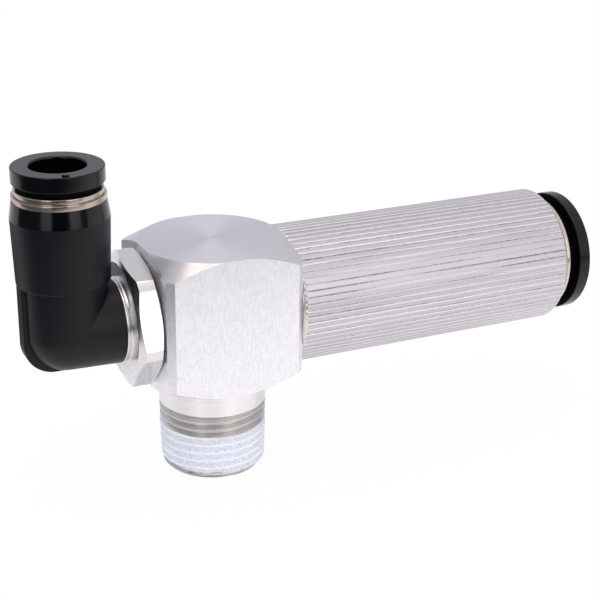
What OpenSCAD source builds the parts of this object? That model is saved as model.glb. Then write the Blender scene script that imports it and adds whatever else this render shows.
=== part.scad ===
// Inline vacuum ejector with a swivelling supply elbow, a male taper port and a
// straight-knurled exhaust sleeve.  Millimetres.
//
// Frame: Z is the axis of the vacuum port, which points down; the ejector axis
// runs along X, from the supply elbow at -X to the exhaust sleeve at +X.  The
// origin is on the port axis in the gauge plane of its R 3/8 taper thread, the
// plane where a standard female thread begins.

/* [Block] */
// Side of the cubic block, across its milled flats
block_w = 22; // [21:0.5:26]
// Leg of the chamfer on the block's four upright edges
block_edge = 1.05; // [0.6:0.05:1.5]
// Diameter of the flat that is turned on the top and on the bottom
turned_d = 22.3; // [21:0.1:23]
// Slope of the turned cones that cut the block's corners, from the horizontal
turned_slope = 30; // [20:1:40]

/* [Vacuum port] */
// Diameter of the plain boss above the thread
boss_d = 17; // [16.8:0.1:18]
// Height of the boss
boss_l = 4.4; // [3:0.1:7]
// Diameter of the taper thread at its gauge plane (R 3/8)
thread_d = 16.66; // [16.4:0.02:16.7]
// Length of the thread, from the boss to its end face
thread_l = 11.1; // [9:0.1:13]
// Distance from the thread's end face to the gauge plane
gauge_l = 6.35; // [5.5:0.05:7.5]
// Size of the chamfer at the thread's end, along the axis
thread_chamfer = 0.75; // [0.3:0.05:1]
// Diameter of the vacuum bore in the thread
port_bore_d = 11; // [9:0.1:11.5]
// Diameter of the drilling that joins the vacuum bore to the suction chamber
cross_bore_d = 6.4; // [5:0.1:7]
// Wall left between the vacuum bore and the ejector axis
port_roof = 8.2; // [7.8:0.1:9]
// Band of dried sealant: distance of its upper edge below the boss
sealant_top = 3.6; // [2:0.1:5]
// Height of the band of sealant
sealant_l = 6.3; // [4:0.1:6.5]
// Thickness of the sealant over the thread's crests
sealant_t = 0.1; // [0.06:0.01:0.2]

/* [Swivel stem] */
// Width of the hexagon across its flats
hex_w = 19; // [18:0.5:20]
// Diameter to which the hexagon's corners are turned
hex_corner_d = 21; // [20.6:0.1:21.4]
// Thickness of the hexagon
hex_l = 3.92; // [3:0.1:5]
// Angle at which the hexagon came to rest when it was tightened
hex_turn = 13; // [0:1:59]
// Diameter of the flat faces inside the hexagon's chamfers
hex_face_d = 17.6; // [17:0.1:18]
// Slope of the hexagon's chamfers, from its faces
hex_slope = 22; // [15:1:30]
// Diameter of the collar between the hexagon and the elbow
collar_d = 13; // [12.6:0.1:13.2]
// Length of the collar
collar_l = 0.88; // [0.5:0.05:1.5]
// Diameter of the thread that goes into the block
stem_thread_d = 13; // [12.6:0.1:13.4]
// Length of thread in the block
stem_thread_l = 4.5; // [4:0.1:5]
// Diameter of the spigot that the elbow turns on
spigot_d = 9.2; // [9:0.05:9.4]
// Length of the spigot
spigot_l = 6.1; // [5.8:0.1:6.4]
// Height of the snap ridge that holds the elbow on the spigot
snap_h = 0.35; // [0.2:0.05:0.5]
// Diameter of the air way through the stem
stem_bore_d = 5.2; // [4:0.1:5.4]

/* [Seals] */
// Height of the face seal's gland in the block
gland_l = 1.2; // [1:0.05:1.4]
// Width of the face seal's gland
gland_w = 1.35; // [1.2:0.05:1.4]
// Section of the face seal, as squeezed
gasket_section = 1.1; // [0.9:0.05:1.15]
// Depth of the ring grooves in the nozzle and in the diffuser
groove_depth = 1.05; // [0.9:0.05:1.2]
// Width of the ring grooves
groove_w = 1.4; // [1.3:0.05:1.6]
// Depth of the ring groove in the swivel spigot
swivel_groove_depth = 1; // [0.8:0.05:1.1]
// Gap between a seal ring and the wall of its groove or bore
seal_gap = 0.03; // [0.02:0.01:0.05]

/* [Nozzle and diffuser] */
// Length of the heads of the nozzle and the diffuser, with the gap at their stops
head_l = 2.5; // [2.2:0.1:3]
// Diameter of the suction chamber
chamber_d = 8.4; // [8:0.1:9]
// Diameter of the heads of the nozzle and the diffuser
head_d = 12.2; // [11.8:0.1:12.4]
// Throat of the nozzle
nozzle_throat_d = 1.5; // [1:0.1:2]
// Exit of the nozzle
nozzle_exit_d = 1.9; // [1.5:0.1:2.4]
// Outer diameter of the nozzle's tip
nozzle_tip_d = 2.8; // [2.6:0.1:3.4]
// Distance of the nozzle's tip before the port axis
nozzle_tip_x = 0.6; // [0.2:0.1:1]
// Distance of the diffuser's mouth behind the port axis
diffuser_mouth_x = 0.9; // [0.5:0.1:1.5]
// Diameter of the diffuser's mouth
diffuser_mouth_d = 5.8; // [5:0.1:6.4]
// Diameter of the diffuser's throat
diffuser_throat_d = 2.6; // [2:0.1:3.2]
// Length of the diffuser's throat
diffuser_throat_l = 7; // [5:0.5:12]
// Diameter of the diffuser's outlet
diffuser_exit_d = 6.8; // [5:0.1:7.6]
// Outer diameter of the diffuser's tail
diffuser_d = 9.9; // [9:0.1:10]

/* [Exhaust sleeve] */
// How far the sleeve's knurl lies inside the block's flats
sleeve_inset = 0; // [0:0.05:0.4]
// Length of the sleeve outside the block
sleeve_l = 48.25; // [45:0.25:55]
// Number of straight grooves in the knurl
knurl_count = 68; // [60:1:76]
// Width of a groove at the surface
knurl_w = 0.46; // [0.3:0.02:0.6]
// Depth of a groove
knurl_depth = 0.2; // [0.1:0.02:0.3]
// Chamfer at the block end
sleeve_near_edge = 0.35; // [0.2:0.05:0.5]
// Chamfer at the exhaust end
sleeve_far_edge = 0.5; // [0.3:0.05:0.8]
// Diameter of the spigot that is screwed into the block
sleeve_spigot_d = 16; // [15:0.1:16.4]
// Length of the spigot
sleeve_spigot_l = 4.5; // [4:0.1:5]

/* [Elbow] */
// Distance from the elbow's swivel face to the axis of its leg
hub_l = 7.45; // [7.3:0.05:9]
// Diameter of the hub at its swivel face
hub_d = 13; // [12.8:0.1:13.4]
// Diameter of the round bend and of the hub where they meet
bend_d = 12.6; // [12.4:0.1:13]
// Height of the step between bend and leg, above the ejector axis
step_h = 7.7; // [7.5:0.1:8.4]
// Diameter of the leg at the step
leg_low_d = 13.9; // [13.6:0.1:14.2]
// Height of the leg's widest ring, above the ejector axis
wide_h = 17.75; // [17:0.05:18.5]
// Diameter of the leg's widest ring
wide_d = 14.6; // [14.4:0.1:15]
// Height of the leg's mouth, above the ejector axis
mouth_h = 20.41; // [20.2:0.01:21.6]
// Diameter of the leg at its mouth
mouth_d = 13.8; // [13.6:0.1:14]
// Thickness of the rib down the outside of the bend
rib_t = 2.8; // [2:0.1:3.4]
// Radius of the rib's corner
rib_corner_r = 4.7; // [3.5:0.1:5.5]
// Diameter of the air way through the bend
elbow_bore_d = 5.8; // [5:0.1:6.2]

/* [Supply push-in port] */
// Outer diameter of the supply tube
supply_tube_d = 8; // [7.8:0.05:8.1]
// Diameter of the release ring's flange
supply_flange_d = 13.27; // [13:0.01:13.6]
// Thickness of the flange
supply_flange_t = 2.33; // [2.1:0.01:2.6]
// Stroke of the release ring
supply_stroke = 0.9; // [0.6:0.05:1.1]
// Diameter of the release ring's collar
supply_collar_d = 9.9; // [9.7:0.05:10]
// Diameter of the shoulder under the flange, which sinks into the guide ring
supply_shoulder_d = 12.2; // [11.4:0.1:12.3]
// Diameter of the seat for the guide ring, in the elbow
supply_seat_d = 12.4; // [12.2:0.05:12.5]
// Height of the guide ring above the mouth
supply_guide_h = 1.63; // [1.5:0.01:2]
// Length of the guide ring's skirt in the mouth
supply_skirt_l = 3.4; // [3.2:0.1:3.8]
// Thickness of the lock claws' sheet
supply_claw_t = 0.35; // [0.3:0.05:0.45]
// Length of the rubber seal
supply_seal_l = 3.95; // [3.5:0.05:4.1]
// Depth from the mouth to the stop of the tube
supply_depth = 13.87; // [13.6:0.01:14]

/* [Exhaust push-in port] */
// Outer diameter of the exhaust tube
exhaust_tube_d = 12; // [11.8:0.05:12.1]
// Diameter of the release ring's flange
exhaust_flange_d = 19.92; // [19.4:0.02:20.4]
// Thickness of the flange
exhaust_flange_t = 2; // [1.6:0.1:2.5]
// Stroke of the release ring
exhaust_stroke = 1.55; // [1:0.05:1.8]
// Diameter of the release ring's collar
exhaust_collar_d = 14.6; // [14.4:0.1:14.8]
// Diameter of the shoulder under the flange, which sinks into the guide ring
exhaust_shoulder_d = 16.8; // [16:0.1:17]
// Diameter of the seat for the guide ring, in the sleeve
exhaust_seat_d = 17.8; // [17.6:0.1:18.2]
// Diameter of the guide ring's lower band
exhaust_band_d = 19.5; // [19.2:0.1:19.8]
// Height of the guide ring above the mouth
exhaust_guide_h = 1.4; // [1.2:0.05:1.6]
// Length of the guide ring's skirt in the mouth
exhaust_skirt_l = 4; // [3.8:0.1:4.6]
// Thickness of the lock claws' sheet
exhaust_claw_t = 0.45; // [0.35:0.05:0.6]
// Length of the rubber seal
exhaust_seal_l = 5; // [4.6:0.1:5.2]
// Depth from the mouth to the stop of the tube
exhaust_depth = 18.05; // [17.8:0.05:20]

/* [Push-in details] */
// Radial clearance between a tube and the seat that guides its end
tube_clear = 0.1; // [0.05:0.01:0.15]
// Radial clearance between a tube and the release ring
release_clear = 0.16; // [0.1:0.01:0.25]
// How far the claws and the seal lips reach inside the tube's surface
grip = 0.1; // [0.05:0.01:0.12]
// How far the shoulder stands in the guide ring, with the release ring out
shoulder_dip = 0.1; // [0.05:0.05:0.2]
// Height of the release ring's snap barb
barb_h = 0.4; // [0.2:0.05:0.45]
// Slope of the claws' fingers, from the plane of their rim
claw_slope = 40; // [35:1:45]
// Number of fingers on each set of claws
claw_count = 10; // [8:1:14]
// Width of the slots between the fingers
claw_slot = 0.6; // [0.4:0.1:0.8]
// Width of the ledge that carries the claws' rim and the seal
ledge = 0.35; // [0.25:0.05:0.4]

/* [Fits] */
// Radial clearance of pieces that slide or turn in each other
run_clear = 0.05; // [0.03:0.01:0.08]
// Radial clearance of pieces that are screwed or pressed into each other
fit_clear = 0.03; // [0.02:0.01:0.05]
// Gap left at a stop so that pieces do not bind
stop_gap = 0.05; // [0.03:0.01:0.08]

/* [Hidden] */
$fn = 96;
// Overshoot of a cut beyond the face that it opens
cut = 1;

// Levels and stations.  Heights are in the part's frame, stations along X.
thread_end_z = -gauge_l;
boss_z = thread_l - gauge_l;
block_z = boss_z + boss_l;
axis_z = block_z + block_w / 2;
taper = 1 / 32;                               // radius lost per unit of length

block_face = block_w / 2;
sleeve_r = block_face - sleeve_inset;
stem_end_x = -(block_face - stem_thread_l);
hex_x = -(block_face + hex_l);
collar_x = hex_x - collar_l;
hub_x = collar_x - stop_gap;
leg_x = hub_x - hub_l;
spigot_end_x = collar_x - spigot_l;
sleeve_in_x = block_face - sleeve_spigot_l;
chamber_in_x = stem_end_x + head_l;           // the suction chamber lies between the heads
chamber_out_x = sleeve_in_x - head_l;
sleeve_end_x = block_face + sleeve_l;
exhaust_stop_x = sleeve_end_x - exhaust_depth;
mouth_z = axis_z + mouth_h;

// Snap ridge on the spigot: its ramp ends this far from the spigot's end
snap_lead = 0.3;
snap_l = 1.2;
snap_x = spigot_end_x + snap_lead + snap_l;
swivel_groove_x = collar_x - 2.4;

function thread_r(z) = thread_d / 2 + z * taper;

// A solid of revolution about Z from [radius, height] points.
module turned(points) rotate_extrude() polygon(points);

// Places a child that is drawn on +Z on the ejector axis, facing +X.
module on_axis() translate([0, 0, axis_z]) rotate([0, 90, 0]) children();

// Places a child that is drawn on +Z at the mouth of the elbow's leg.
module at_supply() translate([leg_x, 0, mouth_z]) children();

// Places a child that is drawn on +Z at the mouth of the sleeve.
module at_exhaust() on_axis() translate([0, 0, sleeve_end_x]) children();

// ---------------------------------------------------------------- the block

// The square bar: milled flats and chamfered upright edges.
module bar() {
    a = block_face;
    b = block_face - block_edge;
    translate([0, 0, block_z])
        linear_extrude(block_w)
            polygon([[a, b], [b, a], [-b, a], [-a, b], [-a, -b], [-b, -a], [b, -a], [a, -b]]);
}

// The lathe's cut: a flat above and below, with cones that take the corners.
module lathe_envelope() {
    far_r = block_w * 0.75;
    drop = (far_r - turned_d / 2) * tan(turned_slope);
    translate([0, 0, block_z])
        turned([
            [0, 0], [turned_d / 2, 0], [far_r, drop],
            [far_r, block_w - drop], [turned_d / 2, block_w], [0, block_w]
        ]);
}

// Boss and taper thread.  The thread is drawn as its crest envelope.
module port_stub() {
    end_r = thread_r(thread_end_z);
    chamfered_r = end_r - thread_chamfer * 0.9;
    turned([
        [0, thread_end_z], [chamfered_r, thread_end_z],
        [thread_r(thread_end_z + thread_chamfer), thread_end_z + thread_chamfer],
        [thread_r(boss_z), boss_z], [boss_d / 2, boss_z],
        [boss_d / 2, block_z + cut], [0, block_z + cut]
    ]);
}

// Vacuum bore from below: a wide drilling, its drill point and a cross drilling.
module port_drilling() {
    r = port_bore_d / 2;
    top = axis_z - port_roof;
    edge = 0.4;
    turned([
        [0, thread_end_z - cut], [r + edge + cut, thread_end_z - cut],
        [r, thread_end_z + edge], [r, top],
        [cross_bore_d / 2, top + (r - cross_bore_d / 2) * tan(31)],
        [cross_bore_d / 2, axis_z], [0, axis_z]
    ]);
}

// Bores along the ejector axis, for the stem, the nozzle, the diffuser and the sleeve.
module axis_drilling() {
    stem_r = stem_thread_d / 2 + fit_clear;
    head_r = head_d / 2 + fit_clear;
    spigot_r = sleeve_spigot_d / 2 + fit_clear;
    on_axis() turned([
        [0, -block_face - cut],
        [stem_r + gland_w, -block_face - cut],
        [stem_r + gland_w, -block_face + gland_l],
        [stem_r, -block_face + gland_l],
        [stem_r, stem_end_x],
        [head_r, stem_end_x],
        [head_r, chamber_in_x],
        [chamber_d / 2, chamber_in_x],
        [chamber_d / 2, chamber_out_x],
        [head_r, chamber_out_x],
        [head_r, sleeve_in_x - stop_gap],
        [spigot_r, sleeve_in_x - stop_gap],
        [spigot_r, block_face + cut],
        [0, block_face + cut]
    ]);
}

module ejector_body() {
    color([0.80, 0.80, 0.82])
        difference() {
            union() {
                intersection() {
                    bar();
                    lathe_envelope();
                }
                port_stub();
            }
            port_drilling();
            axis_drilling();
        }
}

// White sealant over the middle turns of the thread.
module thread_sealant() {
    top = boss_z - sealant_top;
    low = top - sealant_l;
    inner = fit_clear;
    outer = fit_clear + sealant_t;
    color([0.90, 0.92, 0.97])
        turned([
            [thread_r(low) + inner, low], [thread_r(low) + outer, low],
            [thread_r(top) + outer, top], [thread_r(top) + inner, top]
        ]);
}

// ------------------------------------------------------------- swivel stem

// Hexagon with its corners turned off and both faces chamfered, from z = 0 up.
module chamfered_hexagon() {
    corner_r = hex_corner_d / 2;
    face_r = hex_face_d / 2;
    drop = (corner_r - face_r) * tan(hex_slope);
    intersection() {
        rotate([0, 0, -hex_turn]) cylinder(d = hex_w / cos(30), h = hex_l, $fn = 6);
        turned([
            [0, 0], [face_r, 0], [corner_r, drop], [corner_r, hex_l - drop],
            [face_r, hex_l], [0, hex_l]
        ]);
    }
}

// Everything on the stem that is turned, without the hexagon.
module stem_turning() {
    spigot_r = spigot_d / 2;
    groove_r = spigot_r - swivel_groove_depth;
    collar_edge = 0.12;
    turned([
        [0, spigot_end_x],
        [spigot_r - snap_lead, spigot_end_x],
        [spigot_r, spigot_end_x + snap_lead],
        [spigot_r + snap_h, snap_x - 0.3],
        [spigot_r + snap_h, snap_x],
        [spigot_r, snap_x],
        [spigot_r, swivel_groove_x - groove_w / 2],
        [groove_r, swivel_groove_x - groove_w / 2],
        [groove_r, swivel_groove_x + groove_w / 2],
        [spigot_r, swivel_groove_x + groove_w / 2],
        [spigot_r, collar_x],
        [collar_d / 2 - collar_edge, collar_x],
        [collar_d / 2, collar_x + collar_edge],
        [collar_d / 2, hex_x + collar_edge],
        [collar_d / 2 - collar_edge, hex_x],
        [collar_d / 2 - collar_edge, -block_face - hex_l / 2],
        [stem_thread_d / 2, -block_face - hex_l / 2],
        [stem_thread_d / 2, stem_end_x - stop_gap - 0.4],
        [stem_thread_d / 2 - 0.4, stem_end_x - stop_gap],
        [0, stem_end_x - stop_gap]
    ]);
}

module swivel_stem() {
    length = stem_end_x - spigot_end_x;
    color([0.82, 0.81, 0.79])
        on_axis() difference() {
            union() {
                stem_turning();
                translate([0, 0, hex_x]) chamfered_hexagon();
            }
            translate([0, 0, spigot_end_x - cut])
                cylinder(d = stem_bore_d, h = length + 2 * cut);
        }
}

// Ring with a round section, in the plane z = 0.
module o_ring(mid_r, section) {
    rotate_extrude() translate([mid_r, 0]) circle(d = section, $fn = 32);
}

// Seal under the hexagon, in its gland in the block's face.
module stem_gasket() {
    mid_r = stem_thread_d / 2 + fit_clear + gland_w / 2;
    color([0.12, 0.12, 0.13])
        on_axis() translate([0, 0, -block_face + gland_l / 2]) o_ring(mid_r, gasket_section);
}

// Seal between the spigot and the elbow's hub.
module swivel_o_ring() {
    outer_r = spigot_d / 2 + run_clear - seal_gap;
    inner_r = spigot_d / 2 - swivel_groove_depth + seal_gap;
    color([0.12, 0.12, 0.13])
        on_axis() translate([0, 0, swivel_groove_x])
            o_ring((outer_r + inner_r) / 2, outer_r - inner_r);
}

// Seal in the groove of a nozzle or diffuser head.
module head_o_ring() {
    outer_r = head_d / 2 + fit_clear - seal_gap;
    inner_r = head_d / 2 - groove_depth + seal_gap;
    color([0.12, 0.12, 0.13])
        o_ring((outer_r + inner_r) / 2, outer_r - inner_r);
}

// ----------------------------------------------------- nozzle and diffuser

nozzle_groove_x = (stem_end_x + chamber_in_x) / 2;
diffuser_head_end = sleeve_in_x - stop_gap;
diffuser_groove_x = (diffuser_head_end + chamber_out_x) / 2;

// Drives supply air through the throat and across the suction chamber.
module nozzle() {
    head_r = head_d / 2;
    groove_r = head_r - groove_depth;
    neck_r = chamber_d / 2 - fit_clear;
    neck_end = chamber_in_x + 1.1;
    tip = -nozzle_tip_x;
    color([0.78, 0.66, 0.38])
        on_axis() turned([
            [stem_bore_d / 2, stem_end_x],
            [head_r, stem_end_x],
            [head_r, nozzle_groove_x - groove_w / 2],
            [groove_r, nozzle_groove_x - groove_w / 2],
            [groove_r, nozzle_groove_x + groove_w / 2],
            [head_r, nozzle_groove_x + groove_w / 2],
            [head_r, chamber_in_x],
            [neck_r, chamber_in_x],
            [neck_r, neck_end],
            [nozzle_tip_d / 2, tip],
            [nozzle_exit_d / 2, tip],
            [nozzle_throat_d / 2, tip - 1.4],
            [nozzle_throat_d / 2, tip - 1.9],
            [stem_bore_d / 2, stem_end_x + 1.2]
        ]);
}

module nozzle_o_ring() {
    on_axis() translate([0, 0, nozzle_groove_x]) head_o_ring();
}

// Catches the jet: bell mouth, throat and a long slow cone.
module diffuser() {
    head_r = head_d / 2;
    groove_r = head_r - groove_depth;
    tail_end = exhaust_stop_x - 0.3;
    throat_x = chamber_out_x + 2;
    color([0.86, 0.85, 0.80])
        on_axis() turned([
            [diffuser_mouth_d / 2, diffuser_mouth_x],
            [chamber_d / 2 - fit_clear, diffuser_mouth_x],
            [chamber_d / 2 - fit_clear, chamber_out_x],
            [head_r, chamber_out_x],
            [head_r, diffuser_groove_x - groove_w / 2],
            [groove_r, diffuser_groove_x - groove_w / 2],
            [groove_r, diffuser_groove_x + groove_w / 2],
            [head_r, diffuser_groove_x + groove_w / 2],
            [head_r, diffuser_head_end],
            [diffuser_d / 2, diffuser_head_end],
            [diffuser_d / 2, tail_end],
            [diffuser_exit_d / 2, tail_end],
            [diffuser_throat_d / 2, throat_x + diffuser_throat_l],
            [diffuser_throat_d / 2, throat_x]
        ]);
}

module diffuser_o_ring() {
    on_axis() translate([0, 0, diffuser_groove_x]) head_o_ring();
}

// ---------------------------------------------------------- exhaust sleeve

// Outline of the knurl: flat crests with a straight V groove after each.
module knurl_outline() {
    r = sleeve_r;
    pitch = 360 / knurl_count;
    half = asin(knurl_w / 2 / r);
    polygon([
        for (i = [0 : knurl_count - 1])
            for (p = [[-half, r], [0, r - knurl_depth], [half, r], [pitch / 2, r]])
                [p[1] * cos(i * pitch + p[0]), p[1] * sin(i * pitch + p[0])]
    ]);
}

// Knurled tube with chamfered ends; the ring of claws and seals goes in at +Z.
module exhaust_sleeve() {
    r = sleeve_r;
    far_x = sleeve_end_x;
    spigot_r = sleeve_spigot_d / 2;
    color([0.80, 0.79, 0.81])
        on_axis() difference() {
            union() {
                intersection() {
                    translate([0, 0, block_face]) linear_extrude(sleeve_l) knurl_outline();
                    turned([
                        [0, block_face], [r - sleeve_near_edge, block_face],
                        [r + cut, block_face + sleeve_near_edge + cut],
                        [r + cut, far_x - sleeve_far_edge - cut],
                        [r - sleeve_far_edge, far_x], [0, far_x]
                    ]);
                }
                turned([
                    [0, sleeve_in_x], [spigot_r - 0.4, sleeve_in_x],
                    [spigot_r, sleeve_in_x + 0.4], [spigot_r, block_face + cut],
                    [0, block_face + cut]
                ]);
            }
            translate([0, 0, sleeve_in_x - cut])
                cylinder(d = diffuser_d + 2 * fit_clear, h = far_x);
            translate([0, 0, far_x])
                socket_cut(exhaust_tube_d, exhaust_seat_d, exhaust_skirt_l,
                           exhaust_claw_t, exhaust_seal_l, exhaust_depth);
        }
}

// ------------------------------------------------------- push-in port pieces
//
// All are drawn on +Z with the mouth of the body that holds them at z = 0.

// Radius where the fingers leave the rim of the claws.
function knee_r(seat_d) = seat_d / 2 - ledge - 0.3;
// Height of the fingers' upper face at a radius.
function finger_z(seat_d, skirt_l, r) =
    -skirt_l - stop_gap - (knee_r(seat_d) - r) * tan(claw_slope);
// Height of the claws' lower face at their tips.
function claws_low(tube_d, seat_d, skirt_l, claw_t) =
    finger_z(seat_d, skirt_l, tube_d / 2 - grip) - claw_t / cos(claw_slope);
// Height of the ledge that carries the rim.
function ledge_z(skirt_l, claw_t) = -skirt_l - 2 * stop_gap - claw_t;
// Height of the seal's upper face.
function seal_z(tube_d, seat_d, skirt_l, claw_t) =
    claws_low(tube_d, seat_d, skirt_l, claw_t) - 0.15;
// Height of the snap barb's upper face, with the ring out.
function barb_z(skirt_l) = -skirt_l * 0.3;

// The stepped bore that takes the guide ring, the claws, the seal and the tube.
module socket_cut(tube_d, seat_d, skirt_l, claw_t, seal_l, depth) {
    seal_low = seal_z(tube_d, seat_d, skirt_l, claw_t) - seal_l - stop_gap;
    tube_r = tube_d / 2 + tube_clear;
    turned([
        [0, cut], [seat_d / 2, cut],
        [seat_d / 2, ledge_z(skirt_l, claw_t)],
        [seat_d / 2 - ledge, ledge_z(skirt_l, claw_t)],
        [seat_d / 2 - ledge, seal_low],
        [tube_r, seal_low], [tube_r, -depth], [0, -depth]
    ]);
}

// Plain ring that is pressed to let the tube go; its barb keeps it in.
module release_ring(tube_d, seat_d, skirt_l, guide_h, flange_d, flange_t, stroke,
                    shoulder_d, collar_d) {
    bore_r = tube_d / 2 + release_clear;
    low = guide_h + stroke + stop_gap;
    top = low + flange_t;
    edge = 0.25;
    lead = 0.3;
    tip_r = bore_r + 0.5;
    tip_z = finger_z(seat_d, skirt_l, tip_r) + stroke + 2 * stop_gap;
    barb = barb_z(skirt_l);
    slit = 0.8;
    color([0.11, 0.11, 0.12])
        difference() {
            turned([
                [bore_r + lead, top], [flange_d / 2 - edge, top],
                [flange_d / 2, top - edge], [flange_d / 2, low + edge / 2],
                [flange_d / 2 - edge / 2, low], [shoulder_d / 2, low],
                [shoulder_d / 2, guide_h - shoulder_dip],
                [collar_d / 2, guide_h - shoulder_dip], [collar_d / 2, barb], [collar_d / 2 + barb_h, barb],
                [collar_d / 2 + barb_h, barb - barb_h], [tip_r, tip_z],
                [bore_r, tip_z], [bore_r, top - lead]
            ]);
            for (a = [0, 90])
                rotate([0, 0, a])
                    translate([-collar_d, -slit / 2, tip_z - cut])
                        cube([2 * collar_d, slit, barb - tip_z + cut + 1]);
        }
}

// Plated ring in the mouth: two bands outside with a fine groove between them,
// a step inside that takes the release ring's shoulder, and a skirt that is
// pressed into the seat and holds the claws down.
module guide_ring(seat_d, skirt_l, guide_h, band_d, top_d, stroke, shoulder_d, collar_d) {
    bore_r = collar_d / 2 + run_clear;
    pocket_r = collar_d / 2 + barb_h + 2 * run_clear;
    step_r = shoulder_d / 2 + run_clear;
    step_z = guide_h - shoulder_dip - stroke - stop_gap;
    skirt_r = seat_d / 2 - fit_clear;
    band_h = guide_h / 2;
    groove = 0.12;
    edge = 0.12;
    color([0.74, 0.71, 0.67])
        turned([
            [bore_r, step_z], [step_r, step_z],
            [step_r, guide_h], [top_d / 2 - edge, guide_h],
            [top_d / 2, guide_h - edge], [top_d / 2, band_h + groove],
            [top_d / 2 - groove, band_h + groove], [top_d / 2 - groove, band_h],
            [band_d / 2 - groove / 2, band_h], [band_d / 2, band_h - groove / 2],
            [band_d / 2, 0], [skirt_r, 0],
            [skirt_r, -skirt_l], [pocket_r, -skirt_l],
            [pocket_r, barb_z(skirt_l) + stop_gap], [bore_r, barb_z(skirt_l) + stop_gap]
        ]);
}

// Sheet-steel ring with slanted fingers that bite the tube.
module lock_claws(tube_d, seat_d, skirt_l, claw_t) {
    rim_r = seat_d / 2 - fit_clear;
    knee = knee_r(seat_d);
    tip_r = tube_d / 2 - grip;
    top = -skirt_l - stop_gap;
    thick = claw_t / cos(claw_slope);
    tip_z = finger_z(seat_d, skirt_l, tip_r);
    bend = (thick - claw_t) / tan(claw_slope);
    color([0.72, 0.72, 0.73])
        difference() {
            turned([
                [rim_r, top], [knee, top], [tip_r, tip_z], [tip_r, tip_z - thick],
                [knee - bend, top - claw_t], [rim_r, top - claw_t]
            ]);
            for (i = [0 : claw_count - 1])
                rotate([0, 0, i * 360 / claw_count])
                    translate([0, -claw_slot / 2, tip_z - thick - cut])
                        cube([knee + 0.1, claw_slot, 4 * cut + top - tip_z]);
        }
}

// Rubber sleeve with a lip at each end.
module tube_seal(tube_d, seat_d, skirt_l, claw_t, seal_l) {
    outer_r = seat_d / 2 - ledge - fit_clear;
    lip_r = tube_d / 2 - grip;
    mid_r = tube_d / 2 + 0.35;
    top = seal_z(tube_d, seat_d, skirt_l, claw_t);
    lip = 0.5;
    lean = 0.6;
    color([0.16, 0.16, 0.17])
        turned([
            [outer_r, top], [lip_r + lean, top], [lip_r, top - lean],
            [lip_r, top - lean - lip], [mid_r, top - 2 * lean - lip],
            [mid_r, top - seal_l + 2 * lean + lip], [lip_r, top - seal_l + lean + lip],
            [lip_r, top - seal_l + lean], [lip_r + lean, top - seal_l],
            [outer_r, top - seal_l]
        ]);
}

module exhaust_seal() {
    at_exhaust() tube_seal(exhaust_tube_d, exhaust_seat_d, exhaust_skirt_l,
                           exhaust_claw_t, exhaust_seal_l);
}

module exhaust_lock_claws() {
    at_exhaust() lock_claws(exhaust_tube_d, exhaust_seat_d, exhaust_skirt_l, exhaust_claw_t);
}

module exhaust_guide_ring() {
    at_exhaust() guide_ring(exhaust_seat_d, exhaust_skirt_l, exhaust_guide_h,
                            exhaust_band_d, exhaust_band_d - 0.5, exhaust_stroke,
                            exhaust_shoulder_d, exhaust_collar_d);
}

module exhaust_release_ring() {
    at_exhaust() release_ring(exhaust_tube_d, exhaust_seat_d, exhaust_skirt_l,
                              exhaust_guide_h, exhaust_flange_d, exhaust_flange_t,
                              exhaust_stroke, exhaust_shoulder_d, exhaust_collar_d);
}

module supply_seal() {
    at_supply() tube_seal(supply_tube_d, supply_seat_d, supply_skirt_l,
                          supply_claw_t, supply_seal_l);
}

module supply_lock_claws() {
    at_supply() lock_claws(supply_tube_d, supply_seat_d, supply_skirt_l, supply_claw_t);
}

module supply_guide_ring() {
    at_supply() guide_ring(supply_seat_d, supply_skirt_l, supply_guide_h,
                           mouth_d, supply_flange_d - 0.17, supply_stroke,
                           supply_shoulder_d, supply_collar_d);
}

module supply_release_ring() {
    at_supply() release_ring(supply_tube_d, supply_seat_d, supply_skirt_l,
                             supply_guide_h, supply_flange_d, supply_flange_t,
                             supply_stroke, supply_shoulder_d, supply_collar_d);
}

// ----------------------------------------------------------------- elbow

// Rib down the outside of the bend: flush with the leg above and the hub below.
module bend_rib() {
    out = leg_low_d / 2 - 0.15;
    low = bend_d / 2;
    r = rib_corner_r;
    translate([0, rib_t / 2, 0]) rotate([90, 0, 0]) linear_extrude(rib_t)
        union() {
            translate([-out, r - low]) square([out, step_h + low - r]);
            translate([r - out, -low]) square([out - r, low + step_h]);
            translate([r - out, r - low]) circle(r = r);
        }
}

// Outside of the elbow about the crossing of its two axes.
module elbow_outside() {
    hub_edge = 0.2;
    turned([
        [0, step_h], [leg_low_d / 2, step_h], [wide_d / 2, wide_h],
        [mouth_d / 2, mouth_h], [0, mouth_h]
    ]);
    cylinder(d = bend_d, h = step_h + cut);
    sphere(d = bend_d);
    rotate([0, 90, 0]) turned([
        [0, 0], [bend_d / 2, 0], [hub_d / 2, hub_l - hub_edge],
        [hub_d / 2 - hub_edge, hub_l], [0, hub_l]
    ]);
    bend_rib();
}

// Bore of the hub: running fit on the spigot, and the groove for the snap ridge.
module hub_bore() {
    r = spigot_d / 2 + run_clear;
    far = spigot_end_x - 0.15 - leg_x;
    groove_r = r + snap_h + run_clear;
    groove_in = snap_x + 2 * stop_gap - leg_x;
    groove_out = snap_x - snap_l - leg_x;
    rotate([0, 90, 0]) turned([
        [0, far], [r, far], [r, groove_out], [groove_r, groove_out],
        [groove_r, groove_in], [r, groove_in], [r, hub_l + cut], [0, hub_l + cut]
    ]);
}

// Air way round the bend.
module bend_bore() {
    r = elbow_bore_d / 2;
    sphere(r = r);
    cylinder(r = r, h = mouth_h);
    rotate([0, 90, 0]) cylinder(r = r, h = hub_l);
}

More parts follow.
